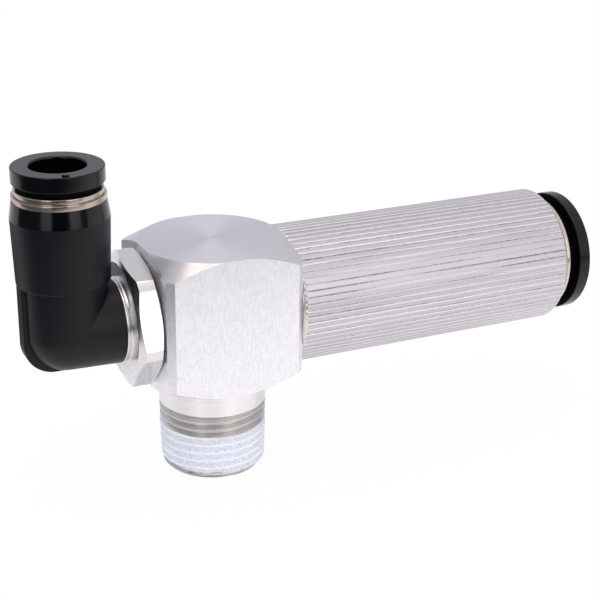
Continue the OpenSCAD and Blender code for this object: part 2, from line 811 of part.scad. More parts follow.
module elbow_housing() {
    color([0.13, 0.13, 0.14])
        translate([leg_x, 0, axis_z]) difference() {
            elbow_outside();
            hub_bore();
            bend_bore();
            translate([0, 0, mouth_h])
                socket_cut(supply_tube_d, supply_seat_d, supply_skirt_l,
                           supply_claw_t, supply_seal_l, supply_depth);
        }
}

ejector_body();
thread_sealant();
swivel_stem();
stem_gasket();
nozzle();
nozzle_o_ring();
diffuser();
diffuser_o_ring();
exhaust_sleeve();
exhaust_seal();
exhaust_lock_claws();
exhaust_guide_ring();
exhaust_release_ring();
elbow_housing();
swivel_o_ring();
supply_seal();
supply_lock_claws();
supply_guide_ring();
supply_release_ring();
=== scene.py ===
"""Looks of an inline vacuum ejector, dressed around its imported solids.

The ejector is a machined aluminium block with a taper-threaded vacuum port
below, a swivelling push-in elbow for the supply on the left and a knurled
sleeve with a push-in exhaust on the right.

Meshes are modelled in millimetres in the frame of the solids, where Z is the
axis of the vacuum port and X the ejector axis, and are scaled to metres last.
"""

import logging
import math
from collections.abc import Iterable, Mapping, Sequence
from dataclasses import dataclass
from enum import Enum

import bmesh
import bpy
from mathutils import Matrix, Vector, noise


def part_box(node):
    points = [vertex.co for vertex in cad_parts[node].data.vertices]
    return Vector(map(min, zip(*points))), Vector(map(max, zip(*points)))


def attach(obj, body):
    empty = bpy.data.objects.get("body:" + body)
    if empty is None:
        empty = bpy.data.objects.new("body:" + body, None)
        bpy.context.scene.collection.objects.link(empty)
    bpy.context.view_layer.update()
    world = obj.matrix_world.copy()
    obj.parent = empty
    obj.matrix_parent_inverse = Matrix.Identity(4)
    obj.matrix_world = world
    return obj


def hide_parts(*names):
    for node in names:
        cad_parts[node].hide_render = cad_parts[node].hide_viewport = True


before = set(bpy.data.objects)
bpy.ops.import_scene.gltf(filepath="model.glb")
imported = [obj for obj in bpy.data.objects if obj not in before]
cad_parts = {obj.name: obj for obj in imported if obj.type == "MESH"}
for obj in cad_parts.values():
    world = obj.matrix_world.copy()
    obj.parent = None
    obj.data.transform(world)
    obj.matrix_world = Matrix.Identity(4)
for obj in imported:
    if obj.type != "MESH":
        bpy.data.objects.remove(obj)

LOG = logging.getLogger("ejector")
MM = 0.001
# Points closer than this, in millimetres, are one point.
MERGE = 1e-4
# How far a cutting solid reaches past the face that it opens, in millimetres.
OVERLAP = 1.0
# Turns the stretch of a highlight from along the tool marks to across them.
ACROSS_MARKS = 0.25

Feed = float | tuple[float, ...] | bpy.types.NodeSocket
Point = tuple[float, float]
Corner = tuple[float, float, float]
# What a finish draws: the shader's inputs, its height pattern and that
# pattern's depth in millimetres.
Drawn = tuple[dict[str, Feed], bpy.types.NodeSocket, float]


# --------------------------------------------------------------- node helpers


def linear(srgb: str) -> tuple[float, float, float, float]:
    """Turns an sRGB hex colour into linear values.

    Args:
        srgb: Six hex digits, such as "C8CBD0".

    Returns:
        Linear red, green and blue, and an alpha of 1.
    """
    shares = [int(srgb[i : i + 2], 16) / 255 for i in (0, 2, 4)]
    red, green, blue = (s / 12.92 if s <= 0.04045 else ((s + 0.055) / 1.055) ** 2.4 for s in shares)
    return (red, green, blue, 1.0)


def add_node(
    tree: bpy.types.NodeTree,
    kind: str,
    feeds: Mapping[str | int, Feed] | None = None,
    **settings: object,
) -> bpy.types.Node:
    """Adds a shader node with its settings and links.

    Args:
        tree: The material's or the world's node tree.
        kind: Blender's name of the node type.
        feeds: For each input, the value to set or the output to link to it.
        **settings: Properties of the node itself.

    Returns:
        The new node.
    """
    node = tree.nodes.new(kind)
    for name, value in settings.items():
        setattr(node, name, value)
    for socket, feed in (feeds or {}).items():
        if isinstance(feed, bpy.types.NodeSocket):
            tree.links.new(feed, node.inputs[socket])
        else:
            node.inputs[socket].default_value = feed
    return node


def new_material(name: str) -> bpy.types.Material:
    """Makes an empty node material.

    Args:
        name: Name of the material.

    Returns:
        The material, without nodes.
    """
    material = bpy.data.materials.new(name)
    material.use_nodes = True
    material.node_tree.nodes.clear()
    return material


class Axis(Enum):
    """Axis of a lathe, as the tangent node names it."""

    EJECTOR = "X"
    PORT = "Z"


def lathe_marks(
    tree: bpy.types.NodeTree, axis: Axis, centre: Vector, width: float
) -> bpy.types.NodeSocket:
    """Makes the pattern that a lathe tool leaves: rings, the same all round.

    Args:
        tree: The material's node tree.
        axis: Axis that the piece was turned about.
        centre: A point on that axis, in millimetres.
        width: Mean width of a tool mark, in millimetres.

    Returns:
        A socket with values round 0.5.
    """
    point = add_node(tree, "ShaderNodeTexCoord").outputs["Object"]
    feeds = {"Vector": point, "Location": tuple(-centre * MM)}
    centred = add_node(tree, "ShaderNodeMapping", feeds, vector_type="POINT")
    parts = add_node(tree, "ShaderNodeSeparateXYZ", {0: centred.outputs[0]})
    along, side, rise = (parts.outputs[i] for i in ((0, 1, 2) if axis is Axis.EJECTOR else (2, 0, 1)))
    across = add_node(tree, "ShaderNodeCombineXYZ", {0: side, 1: rise})
    radius = add_node(tree, "ShaderNodeVectorMath", {0: across.outputs[0]}, operation="LENGTH")
    profile = add_node(tree, "ShaderNodeCombineXYZ", {0: radius.outputs["Value"], 1: along})
    feeds = {"Vector": profile.outputs[0], "Scale": 1 / (width * MM), "Detail": 3.0, "Roughness": 0.6}
    return add_node(tree, "ShaderNodeTexNoise", feeds, noise_dimensions="2D").outputs[0]


def grain_pattern(tree: bpy.types.NodeTree, size: float) -> bpy.types.NodeSocket:
    """Makes an even grain, the same in every direction.

    Args:
        tree: The material's node tree.
        size: Mean size of a grain, in millimetres.

    Returns:
        A socket with values round 0.5.
    """
    point = add_node(tree, "ShaderNodeTexCoord").outputs["Object"]
    feeds = {"Vector": point, "Scale": 1 / (size * MM), "Detail": 3.0, "Roughness": 0.6}
    return add_node(tree, "ShaderNodeTexNoise", feeds).outputs[0]


def stretched_pattern(
    tree: bpy.types.NodeTree, size: Corner, detail: float, roughness: float = 0.5
) -> bpy.types.NodeSocket:
    """Makes a pattern of patches that are longer one way than another.

    Args:
        tree: The material's node tree.
        size: Mean size of a patch along X, Y and Z, in millimetres.
        detail: How many finer layers lie in each patch.
        roughness: How strong the finer layers are.

    Returns:
        A socket with values round 0.5.
    """
    point = add_node(tree, "ShaderNodeTexCoord").outputs["Object"]
    scale = tuple(1 / (side * MM) for side in size)
    drawn = add_node(tree, "ShaderNodeMapping", {"Vector": point, "Scale": scale})
    feeds = {"Vector": drawn.outputs[0], "Scale": 1.0, "Detail": detail, "Roughness": roughness}
    return add_node(tree, "ShaderNodeTexNoise", feeds).outputs[0]


# ------------------------------------------------------------------- finishes


@dataclass(frozen=True)
class Finish:
    """A finish on the Principled shader, named for what the real surface is.

    Attributes:
        name: Name of the material.
        colour: sRGB hex colour of the clean surface.
    """

    name: str
    colour: str

    def draw(self, tree: bpy.types.NodeTree) -> Drawn:
        """Draws the finish's patterns and gives what feeds the shader.

        Args:
            tree: The material's node tree.

        Returns:
            The shader's inputs, the height pattern and its depth.
        """
        raise NotImplementedError

    def build(self) -> bpy.types.Material:
        """Makes the node material.

        Returns:
            The material.
        """
        material = new_material(self.name)
        tree = material.node_tree
        feeds, height, depth = self.draw(tree)
        swell = {"Height": height, "Distance": depth * MM, "Strength": 1.0}
        feeds["Normal"] = add_node(tree, "ShaderNodeBump", swell).outputs[0]
        shader = add_node(tree, "ShaderNodeBsdfPrincipled", feeds)
        add_node(tree, "ShaderNodeOutputMaterial", {"Surface": shader.outputs[0]})
        return material


@dataclass(frozen=True)
class TurnedMetal(Finish):
    """Metal from the lathe: rings of fine tool marks that stretch highlights.

    Attributes:
        roughness: Mean roughness.
        anisotropy: How far the marks stretch a highlight across them.
        axis: Axis of the lathe.
        centre: A point on that axis, in millimetres.
        mark_width: Mean width of a tool mark, in millimetres. Real marks of a
            fine cut are about a tenth of a millimetre apart, too fine to show,
            so they are drawn two or three times as coarse.
        mark_depth: Depth of the marks, in millimetres.
        mark_gloss: How far the roughness swings with the marks.
    """

    roughness: float
    anisotropy: float
    axis: Axis
    centre: Vector
    mark_width: float = 0.25
    mark_depth: float = 0.002
    mark_gloss: float = 0.1

    def draw(self, tree: bpy.types.NodeTree) -> Drawn:
        """Draws the rings: they bend the light and swing the gloss.

        Args:
            tree: The material's node tree.

        Returns:
            The shader's inputs, the height pattern and its depth.
        """
        marks = lathe_marks(tree, self.axis, self.centre, self.mark_width)
        swing = {
            "Value": marks,
            "From Min": 0.3,
            "From Max": 0.7,
            "To Min": self.roughness - self.mark_gloss / 2,
            "To Max": self.roughness + self.mark_gloss / 2,
        }
        gloss = add_node(tree, "ShaderNodeMapRange", swing)
        tangent = add_node(tree, "ShaderNodeTangent", direction_type="RADIAL", axis=self.axis.value)
        feeds = {
            "Base Color": linear(self.colour),
            "Metallic": 1.0,
            "Roughness": gloss.outputs[0],
            "Anisotropic": self.anisotropy,
            "Anisotropic Rotation": ACROSS_MARKS,
            "Tangent": tangent.outputs[0],
        }
        return feeds, marks, self.mark_depth


@dataclass(frozen=True)
class MilledAluminium(Finish):
    """Aluminium milled and then brushed: short upright strokes, crossed by level ones.

    The strokes give the flat faces a satin grain, and painted shade darkens the colour in their depths.

    Attributes:
        roughness: Mean roughness.
        anisotropy: How far the strokes stretch a highlight across them.
        line_width: Mean width of a stroke, in millimetres. Real strokes are a
            few hundredths wide, too fine to show, and are drawn coarser.
        line_length: Mean length of an upright stroke, in millimetres.
        cross_length: Mean length of a level stroke, in millimetres.
        cross_share: Share of the level strokes in the pattern.
        line_depth: Depth of the strokes, in millimetres.
        shade: How dark the painted shade in the deepest stroke is, where 1 is the metal itself.
    """

    roughness: float = 0.38
    anisotropy: float = 0.5
    line_width: float = 0.14
    line_length: float = 1.0
    cross_length: float = 0.45
    cross_share: float = 0.4
    line_depth: float = 0.006
    shade: float = 0.84

    def draw(self, tree: bpy.types.NodeTree) -> Drawn:
        """Draws the two sets of strokes and paints shade into their depths.

        Args:
            tree: The material's node tree.

        Returns:
            The shader's inputs, the height pattern and its depth.
        """
        fine, tall, wide = self.line_width, self.line_length, self.cross_length
        upright = stretched_pattern(tree, (fine, fine, tall), 2.0, 0.6)
        level = stretched_pattern(tree, (wide, wide, fine), 2.0, 0.6)
        lines = add_node(tree, "ShaderNodeMix", {0: self.cross_share, 2: upright, 3: level}).outputs[0]
        # The low parts of the strokes darken the colour: painted shade in their depths.
        depths = {"Value": lines, "From Min": 0.35, "From Max": 0.6, "To Min": self.shade, "To Max": 1.0}
        painted_stroke_shade = add_node(tree, "ShaderNodeMapRange", depths)
        base = add_node(
            tree,
            "ShaderNodeMix",
            {0: 1.0, 6: linear(self.colour), 7: painted_stroke_shade.outputs[0]},
            data_type="RGBA",
            blend_type="MULTIPLY",
        )
        tangent = add_node(tree, "ShaderNodeTangent", direction_type="RADIAL", axis="Z")
        feeds = {
            "Base Color": base.outputs[2],
            "Metallic": 1.0,
            "Roughness": self.roughness,
            "Anisotropic": self.anisotropy,
            "Tangent": tangent.outputs[0],
        }
        return feeds, lines, self.line_depth


@dataclass(frozen=True)
class DriedSealant(Finish):
    """White sealant that dried on the thread: chalky and grainy.

    Attributes:
        shade: sRGB hex colour of the painted shade in the hollows between the grains.
        grain: Mean size of a grain, in millimetres.
        depth: Height of the grains, in millimetres.
        roughness: Roughness of the chalky skin.
    """

    shade: str
    grain: float
    depth: float
    roughness: float = 0.6

    def draw(self, tree: bpy.types.NodeTree) -> Drawn:
        """Draws the grain, with painted shade that makes its hollows greyer.

        Args:
            tree: The material's node tree.

        Returns:
            The shader's inputs, the height pattern and its depth.
        """
        grain = grain_pattern(tree, self.grain)
        share = add_node(tree, "ShaderNodeMapRange", {"Value": grain, "From Min": 0.38, "From Max": 0.6})
        # The hollows of the grain take the darker colour: painted shade.
        base = add_node(
            tree,
            "ShaderNodeMix",
            {0: share.outputs[0], 6: linear(self.shade), 7: linear(self.colour)},
            data_type="RGBA",
        )
        feeds = {"Base Color": base.outputs[2], "Roughness": self.roughness, "IOR": 1.45}
        return feeds, grain, self.depth


@dataclass(frozen=True)
class MouldedPlastic(Finish):
    """Moulded resin or rubber with the skin of its mould.

    Attributes:
        roughness: Roughness of the skin.
        specular: How strongly the skin reflects, where 0.5 is clear gloss.
        grain: Mean size of the mould's spark grain, in millimetres. It is
            drawn coarser than a real one, which is too fine to show.
        depth: Depth of the grain, in millimetres.
    """

    roughness: float
    specular: float = 0.3
    grain: float = 0.3
    depth: float = 0.001

    def draw(self, tree: bpy.types.NodeTree) -> Drawn:
        """Draws the grain, which only breaks up the highlights.

        Args:
            tree: The material's node tree.

        Returns:
            The shader's inputs, the height pattern and its depth.
        """
        feeds = {
            "Base Color": linear(self.colour),
            "Roughness": self.roughness,
            "IOR": 1.5,
            "Specular IOR Level": self.specular,
        }
        return feeds, grain_pattern(tree, self.grain), self.depth


@dataclass(frozen=True)
class KnurledAluminium(Finish):
    """Drawn aluminium tube with a pressed knurl: painted highlights on the groove edges, painted shade
    in the grooves.

    Attributes:
        edge: sRGB hex colour of the painted highlight on the edges of the grooves.
        groove_shade: sRGB hex colour of the painted shade in the grooves.
        axis_z: Height of the tube's axis, in millimetres.
        crest_r: Radius of the crests, in millimetres.
        groove_depth: Depth of a groove, in millimetres.
        roughness: Roughness of the drawn skin.
        shaded_depths: Shares of the depth between which the painted shade begins and is full.
        highlit_depths: Shares of the depth between which the edge takes its painted highlight.
        patch: Size of a patch of the painted shade along X, Y and Z, in millimetres.
        skin: Size of a drawing mark along X, Y and Z, in millimetres.
        skin_depth: Depth of the drawing marks, in millimetres.
    """

    edge: str
    groove_shade: str
    axis_z: float
    crest_r: float
    groove_depth: float
    roughness: float = 0.46
    shaded_depths: Point = (0.35, 0.85)
    highlit_depths: Point = (0.04, 0.3)
    patch: Corner = (0.8, 0.4, 0.4)
    skin: Corner = (1.5, 0.2, 0.2)
    skin_depth: float = 0.004

    def draw(self, tree: bpy.types.NodeTree) -> Drawn:
        """Draws the painted highlights on the edges, the broken lines of painted shade in the grooves
        and the skin.

        Args:
            tree: The material's node tree.

        Returns:
            The shader's inputs, the height pattern and its depth.
        """
        point = add_node(tree, "ShaderNodeTexCoord").outputs["Object"]
        parts = add_node(tree, "ShaderNodeSeparateXYZ", {0: point})
        down = {0: parts.outputs[2], 1: self.axis_z * MM}
        rise = add_node(tree, "ShaderNodeMath", down, operation="SUBTRACT")
        across = add_node(tree, "ShaderNodeCombineXYZ", {0: parts.outputs[1], 1: rise.outputs[0]})
        length = add_node(tree, "ShaderNodeVectorMath", {0: across.outputs[0]}, operation="LENGTH")
        radius = length.outputs["Value"]
        masks = []
        # The edges of the grooves take a painted highlight, and their depths painted shade.
        for shares in (self.highlit_depths, self.shaded_depths):
            shallow, deep = ((self.crest_r - share * self.groove_depth) * MM for share in shares)
            fade = {"Value": radius, "From Min": deep, "From Max": shallow, "To Min": 1.0, "To Max": 0.0}
            masks.append(add_node(tree, "ShaderNodeMapRange", fade).outputs[0])
        bright, sunk = masks
        shades = {0: bright, 6: linear(self.colour), 7: linear(self.edge)}
        metal = add_node(tree, "ShaderNodeMix", shades, data_type="RGBA")
        broken = stretched_pattern(tree, self.patch, 5.0, 0.85)
        spread = {"Value": broken, "From Min": 0.38, "From Max": 0.64, "To Min": 0.25, "To Max": 1.0}
        patches = add_node(tree, "ShaderNodeMapRange", spread)
        both = {0: sunk, 1: patches.outputs[0]}
        groove_shade = add_node(tree, "ShaderNodeMath", both, operation="MULTIPLY")
        shades = {0: groove_shade.outputs[0], 6: metal.outputs[2], 7: linear(self.groove_shade)}
        base = add_node(tree, "ShaderNodeMix", shades, data_type="RGBA")
        feeds = {"Base Color": base.outputs[2], "Metallic": 1.0, "Roughness": self.roughness}
        return feeds, stretched_pattern(tree, self.skin, 3.0), self.skin_depth


# ------------------------------------------------------------ modelling tools


def rounded(corners: Sequence[Corner], closed: bool = False, segments: int = 4) -> list[Point]:
    """Rounds the corners of an outline.

    Args:
        corners: Radius, height and fillet of each corner, in millimetres.
        closed: Whether the last corner joins the first.
        segments: Segments of each fillet.

    Returns:
        The outline's points as radius and height.
    """
    count = len(corners)
    points: list[Point] = []
    for i, (radius, height, fillet) in enumerate(corners):
        here = Vector((radius, height))
        at_end = not closed and i in (0, count - 1)
        if fillet <= 0 or at_end:
            points.append((radius, height))
            continue
        before = (Vector(corners[i - 1][:2]) - here).normalized()
        after = (Vector(corners[(i + 1) % count][:2]) - here).normalized()
        half = before.angle(after) / 2
        reach = fillet / math.tan(half)
        start, end = here + before * reach, here + after * reach
        centre = here + (before + after).normalized() * (fillet / math.sin(half))
        for k in range(segments + 1):
            spoke = start.lerp(end, k / segments) - centre
            points.append(tuple(centre + spoke.normalized() * fillet))
    return points


def lathe(outline: Sequence[Point], steps: int = 128, closed: bool = False) -> bmesh.types.BMesh:
    """Turns an outline about Z.

    Args:
        outline: Points as radius and height, in millimetres.
        steps: Number of facets all round.
        closed: Whether the last point joins the first.

    Returns:
        The turned shape.
    """
    shape = bmesh.new()
    verts = [shape.verts.new((radius, 0, height)) for radius, height in outline]
    pairs = list(zip(verts, verts[1:]))
    if closed:
        pairs.append((verts[-1], verts[0]))
    edges = [shape.edges.new(pair) for pair in pairs]
    bmesh.ops.spin(
        shape,
        geom=verts + edges,
        cent=(0, 0, 0),
        axis=(0, 0, 1),
        dvec=(0, 0, 0),
        angle=math.tau,
        steps=steps,
        use_merge=True,
    )
    bmesh.ops.remove_doubles(shape, verts=shape.verts, dist=MERGE)
    bmesh.ops.recalc_face_normals(shape, faces=shape.faces)
    return shape


def trim(
    shape: bmesh.types.BMesh,
    point: Vector,
    outward: Vector,
    fill: bool = True,
    material: int = 0,
) -> None:
    """Cuts off what lies beyond a plane.

    Args:
        shape: The shape to cut.
        point: A point of the plane.
        outward: Direction of the side that falls away.
        fill: Whether the cut is closed with a flat face.
        material: Material index of that face.
    """
    cut = bmesh.ops.bisect_plane(
        shape,
        geom=[*shape.verts, *shape.edges, *shape.faces],
        dist=MERGE,
        plane_co=point,
        plane_no=outward,
        clear_outer=True,
    )
    if fill:
        edges = [item for item in cut["geom_cut"] if isinstance(item, bmesh.types.BMEdge)]
        bmesh.ops.edgeloop_fill(shape, edges=edges, mat_nr=material)


def ring_of_directions(count: int, first: float) -> list[Vector]:
    """Makes level unit directions, evenly spaced from a first angle in degrees."""
    angles = (math.radians(first + 360 * i / count) for i in range(count))
    return [Vector((math.cos(angle), math.sin(angle), 0)) for angle in angles]


def round_edges(
    shape: bmesh.types.BMesh, edges: Sequence[bmesh.types.BMEdge], reach: float, segments: int
) -> None:
    """Rounds chosen edges of a shape.

    Args:
        shape: The shape.
        edges: Its edges that are rounded.
        reach: Width of the rounding, in millimetres.
        segments: Segments of the rounding.
    """
    bmesh.ops.bevel(
        shape,
        geom=edges,
        offset=reach,
        offset_type="OFFSET",
        segments=segments,
        profile=0.5,
        affect="EDGES",
        material=-1,
        clamp_overlap=True,
    )


def soften(shape: bmesh.types.BMesh, reach: float, over: float = 20.0, segments: int = 2) -> None:
    """Breaks the hard edges of a shape.

    Args:
        shape: The shape.
        reach: Width of the broken edge, in millimetres.
        over: Least angle of an edge that is broken, in degrees.
        segments: Segments of the rounding.
    """
    limit = math.radians(over)
    edges = [e for e in shape.edges if len(e.link_faces) == 2 and e.calc_face_angle() > limit]
    round_edges(shape, edges, reach, segments)


def new_corners(made: Mapping[str, Sequence[object]]) -> list[bmesh.types.BMVert]:
    """Picks the vertices out of what an extrusion has made."""
    return [item for item in made["geom"] if isinstance(item, bmesh.types.BMVert)]


def along_ejector(axis_z: float, station: float = 0.0) -> Matrix:
    """Makes the placement that lays a turned shape's Z on the ejector axis."""
    return Matrix.Translation((station, 0, axis_z)) @ Matrix.Rotation(math.radians(90), 4, "Y")


def solid(name: str, shape: bmesh.types.BMesh, place: Matrix | None = None) -> bpy.types.Object:
    """Turns a shape into an object in millimetres, for cutting and joining.

    Args:
        name: Name of the object.
        shape: The shape, which is freed.
        place: Where the shape goes, if not where it is.

    Returns:
        The object.
    """
    if place is not None:
        bmesh.ops.transform(shape, matrix=place, verts=shape.verts)
    bmesh.ops.recalc_face_normals(shape, faces=shape.faces)
    mesh = bpy.data.meshes.new(name)
    shape.to_mesh(mesh)
    shape.free()
    made = bpy.data.objects.new(name, mesh)
    bpy.context.scene.collection.objects.link(made)
    return made


class Cut(Enum):
    """What a tool solid does to the piece."""

    JOIN = "UNION"
    CARVE = "DIFFERENCE"


def apply_tool(piece: bpy.types.Object, tool: bpy.types.Object, cut: Cut) -> None:
    """Joins a solid to a piece or carves it out, and removes the tool.

    Args:
        piece: The piece, whose mesh is replaced.
        tool: The other solid.
        cut: What the tool does.
    """
    modifier = piece.modifiers.new("cut", "BOOLEAN")
    modifier.solver = "EXACT"
    modifier.operation = cut.value
    modifier.object = tool
    freeze(piece)
    bpy.data.objects.remove(tool)


def freeze(piece: bpy.types.Object) -> None:
    """Applies a piece's modifiers to its mesh.

    Args:
        piece: The piece, whose mesh is replaced.
    """
    bpy.context.view_layer.update()
    evaluated = piece.evaluated_get(bpy.context.evaluated_depsgraph_get())
    mesh = bpy.data.meshes.new_from_object(evaluated)
    piece.modifiers.clear()
    piece.data = mesh


@dataclass(frozen=True)
class Fitting:
    """How a finished piece belongs to the part.

    Attributes:
        body: Body that it rides on.
        slot: Material slot of the record; not used.
        nodes: Solids that it stands for.
    """

    body: str
    slot: str
    nodes: tuple[str, ...] = ()


def finish_piece(
    piece: bpy.types.Object,
    materials: Iterable[bpy.types.Material],
    fitting: Fitting,
    sharp_over: float = 32.0,
) -> bpy.types.Object:
    """Scales a piece to metres, shades it, dresses it and fits it to its body.

    Args:
        piece: The piece in millimetres.
        materials: Materials in the order of its faces' material indices.
        fitting: How it belongs to the part.
        sharp_over: Least angle of an edge that shades sharp, in degrees.

    Returns:
        The piece.
    """
    indices = [face.material_index for face in piece.data.polygons]
    piece.data.materials.clear()
    for material in materials:
        piece.data.materials.append(material)
    piece.data.polygons.foreach_set("material_index", indices)
    shape = bmesh.new()
    shape.from_mesh(piece.data)
    bmesh.ops.scale(shape, vec=(MM, MM, MM), verts=shape.verts)
    limit = math.radians(sharp_over)
    for face in shape.faces:
        face.smooth = True
    for edge in shape.edges:
        edge.smooth = len(edge.link_faces) == 2 and edge.calc_face_angle() < limit
    shape.to_mesh(piece.data)
    shape.free()
    weighted = piece.modifiers.new("weighted", "WEIGHTED_NORMAL")
    weighted.keep_sharp = True
    freeze(piece)
    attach(piece, fitting.body)
    if fitting.nodes:
        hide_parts(*fitting.nodes)
    LOG.info("%s: %d faces on %s", piece.name, len(piece.data.polygons), fitting.body)
    return piece


def box_mm(node: str) -> tuple[Vector, Vector]:
    """Gives the lowest and highest corner of a solid, in millimetres."""
    low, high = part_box(node)
    return low / MM, high / MM


def dress(nodes: Sequence[str], material: bpy.types.Material) -> None:
    """Gives solids a material, where they stay as they are.

    Args:
        nodes: Names of the solids.
        material: Their finish.
    """
    for name in nodes:
        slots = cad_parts[name].data.materials
        slots.clear()
        slots.append(material)
        LOG.info("%s: solid dressed in %s", name, material.name)


# ---------------------------------------------------------------------- block


@dataclass(frozen=True)
class TaperThread:
    """The R 3/8 taper thread, in millimetres.

    Attributes:
        pitch: Height of a turn, 19 turns to the inch.
        gauge_r: Crest radius at height 0.
        taper: Radius gained per unit of height.
        flank: Half the thread's angle, in degrees.
        crest_z: Height of a crest on the +X side.
    """

    pitch: float = 25.4 / 19
    gauge_r: float = 8.33
    taper: float = 1 / 32
    flank: float = 27.5
    crest_z: float = 0.16

    def ridge(self, lift: float, depth: float, crest_w: float, fillet: float) -> list[Point]:
        """Draws one turn's section about its crest.

        Args:
            lift: Height of the crest over the thread's own crest.
            depth: Depth from crest to root.
            crest_w: Width of the crest's flat.
            fillet: Rounding of crest and root.

        Returns:
            The outline from root to root.
        """
        crest = self.gauge_r + lift
        root = crest - depth
        half = self.pitch / 2
        foot = crest_w / 2 + depth * math.tan(math.radians(self.flank))
        corners = [
            (root, -half, 0.0),
            (root, -foot, fillet),
            (crest, -crest_w / 2, fillet),
            (crest, crest_w / 2, fillet),
            (root, foot, fillet),
            (root, half, 0.0),
        ]
        return rounded(corners, segments=2)

    def sweep(
        self, outline: Sequence[Point], low: float, high: float, steps: int = 96
    ) -> bmesh.types.BMesh:
        """Sweeps a ridge up its helix and trims it between two levels.

        Args:
            outline: The ridge's section from root to root.
            low: Lower level.
            high: Upper level.
            steps: Facets of a turn.

        Returns:
            An open tube with the thread on its outside.
        """
        first = self.crest_z + self.pitch * (math.floor((low - self.crest_z) / self.pitch) - 2)
        turns = math.ceil((high - low) / self.pitch) + 5
        shape = bmesh.new()
        verts = [shape.verts.new((radius, 0, first + height)) for radius, height in outline]
        edges = [shape.edges.new(pair) for pair in zip(verts, verts[1:])]
        bmesh.ops.spin(
            shape,
            geom=verts + edges,
            cent=(0, 0, 0),
            axis=(0, 0, 1),
            dvec=(0, 0, self.pitch / steps),
            angle=math.tau * turns,
            steps=steps * turns,
            use_merge=False,
        )
        bmesh.ops.remove_doubles(shape, verts=shape.verts, dist=10 * MERGE)
        for vert in shape.verts:
            vert.co.xy *= 1 + vert.co.z * self.taper / self.gauge_r
        trim(shape, Vector((0, 0, low)), Vector((0, 0, -1)), fill=False)
        trim(shape, Vector((0, 0, high)), Vector((0, 0, 1)), fill=False)
        bmesh.ops.recalc_face_normals(shape, faces=shape.faces)
        return shape


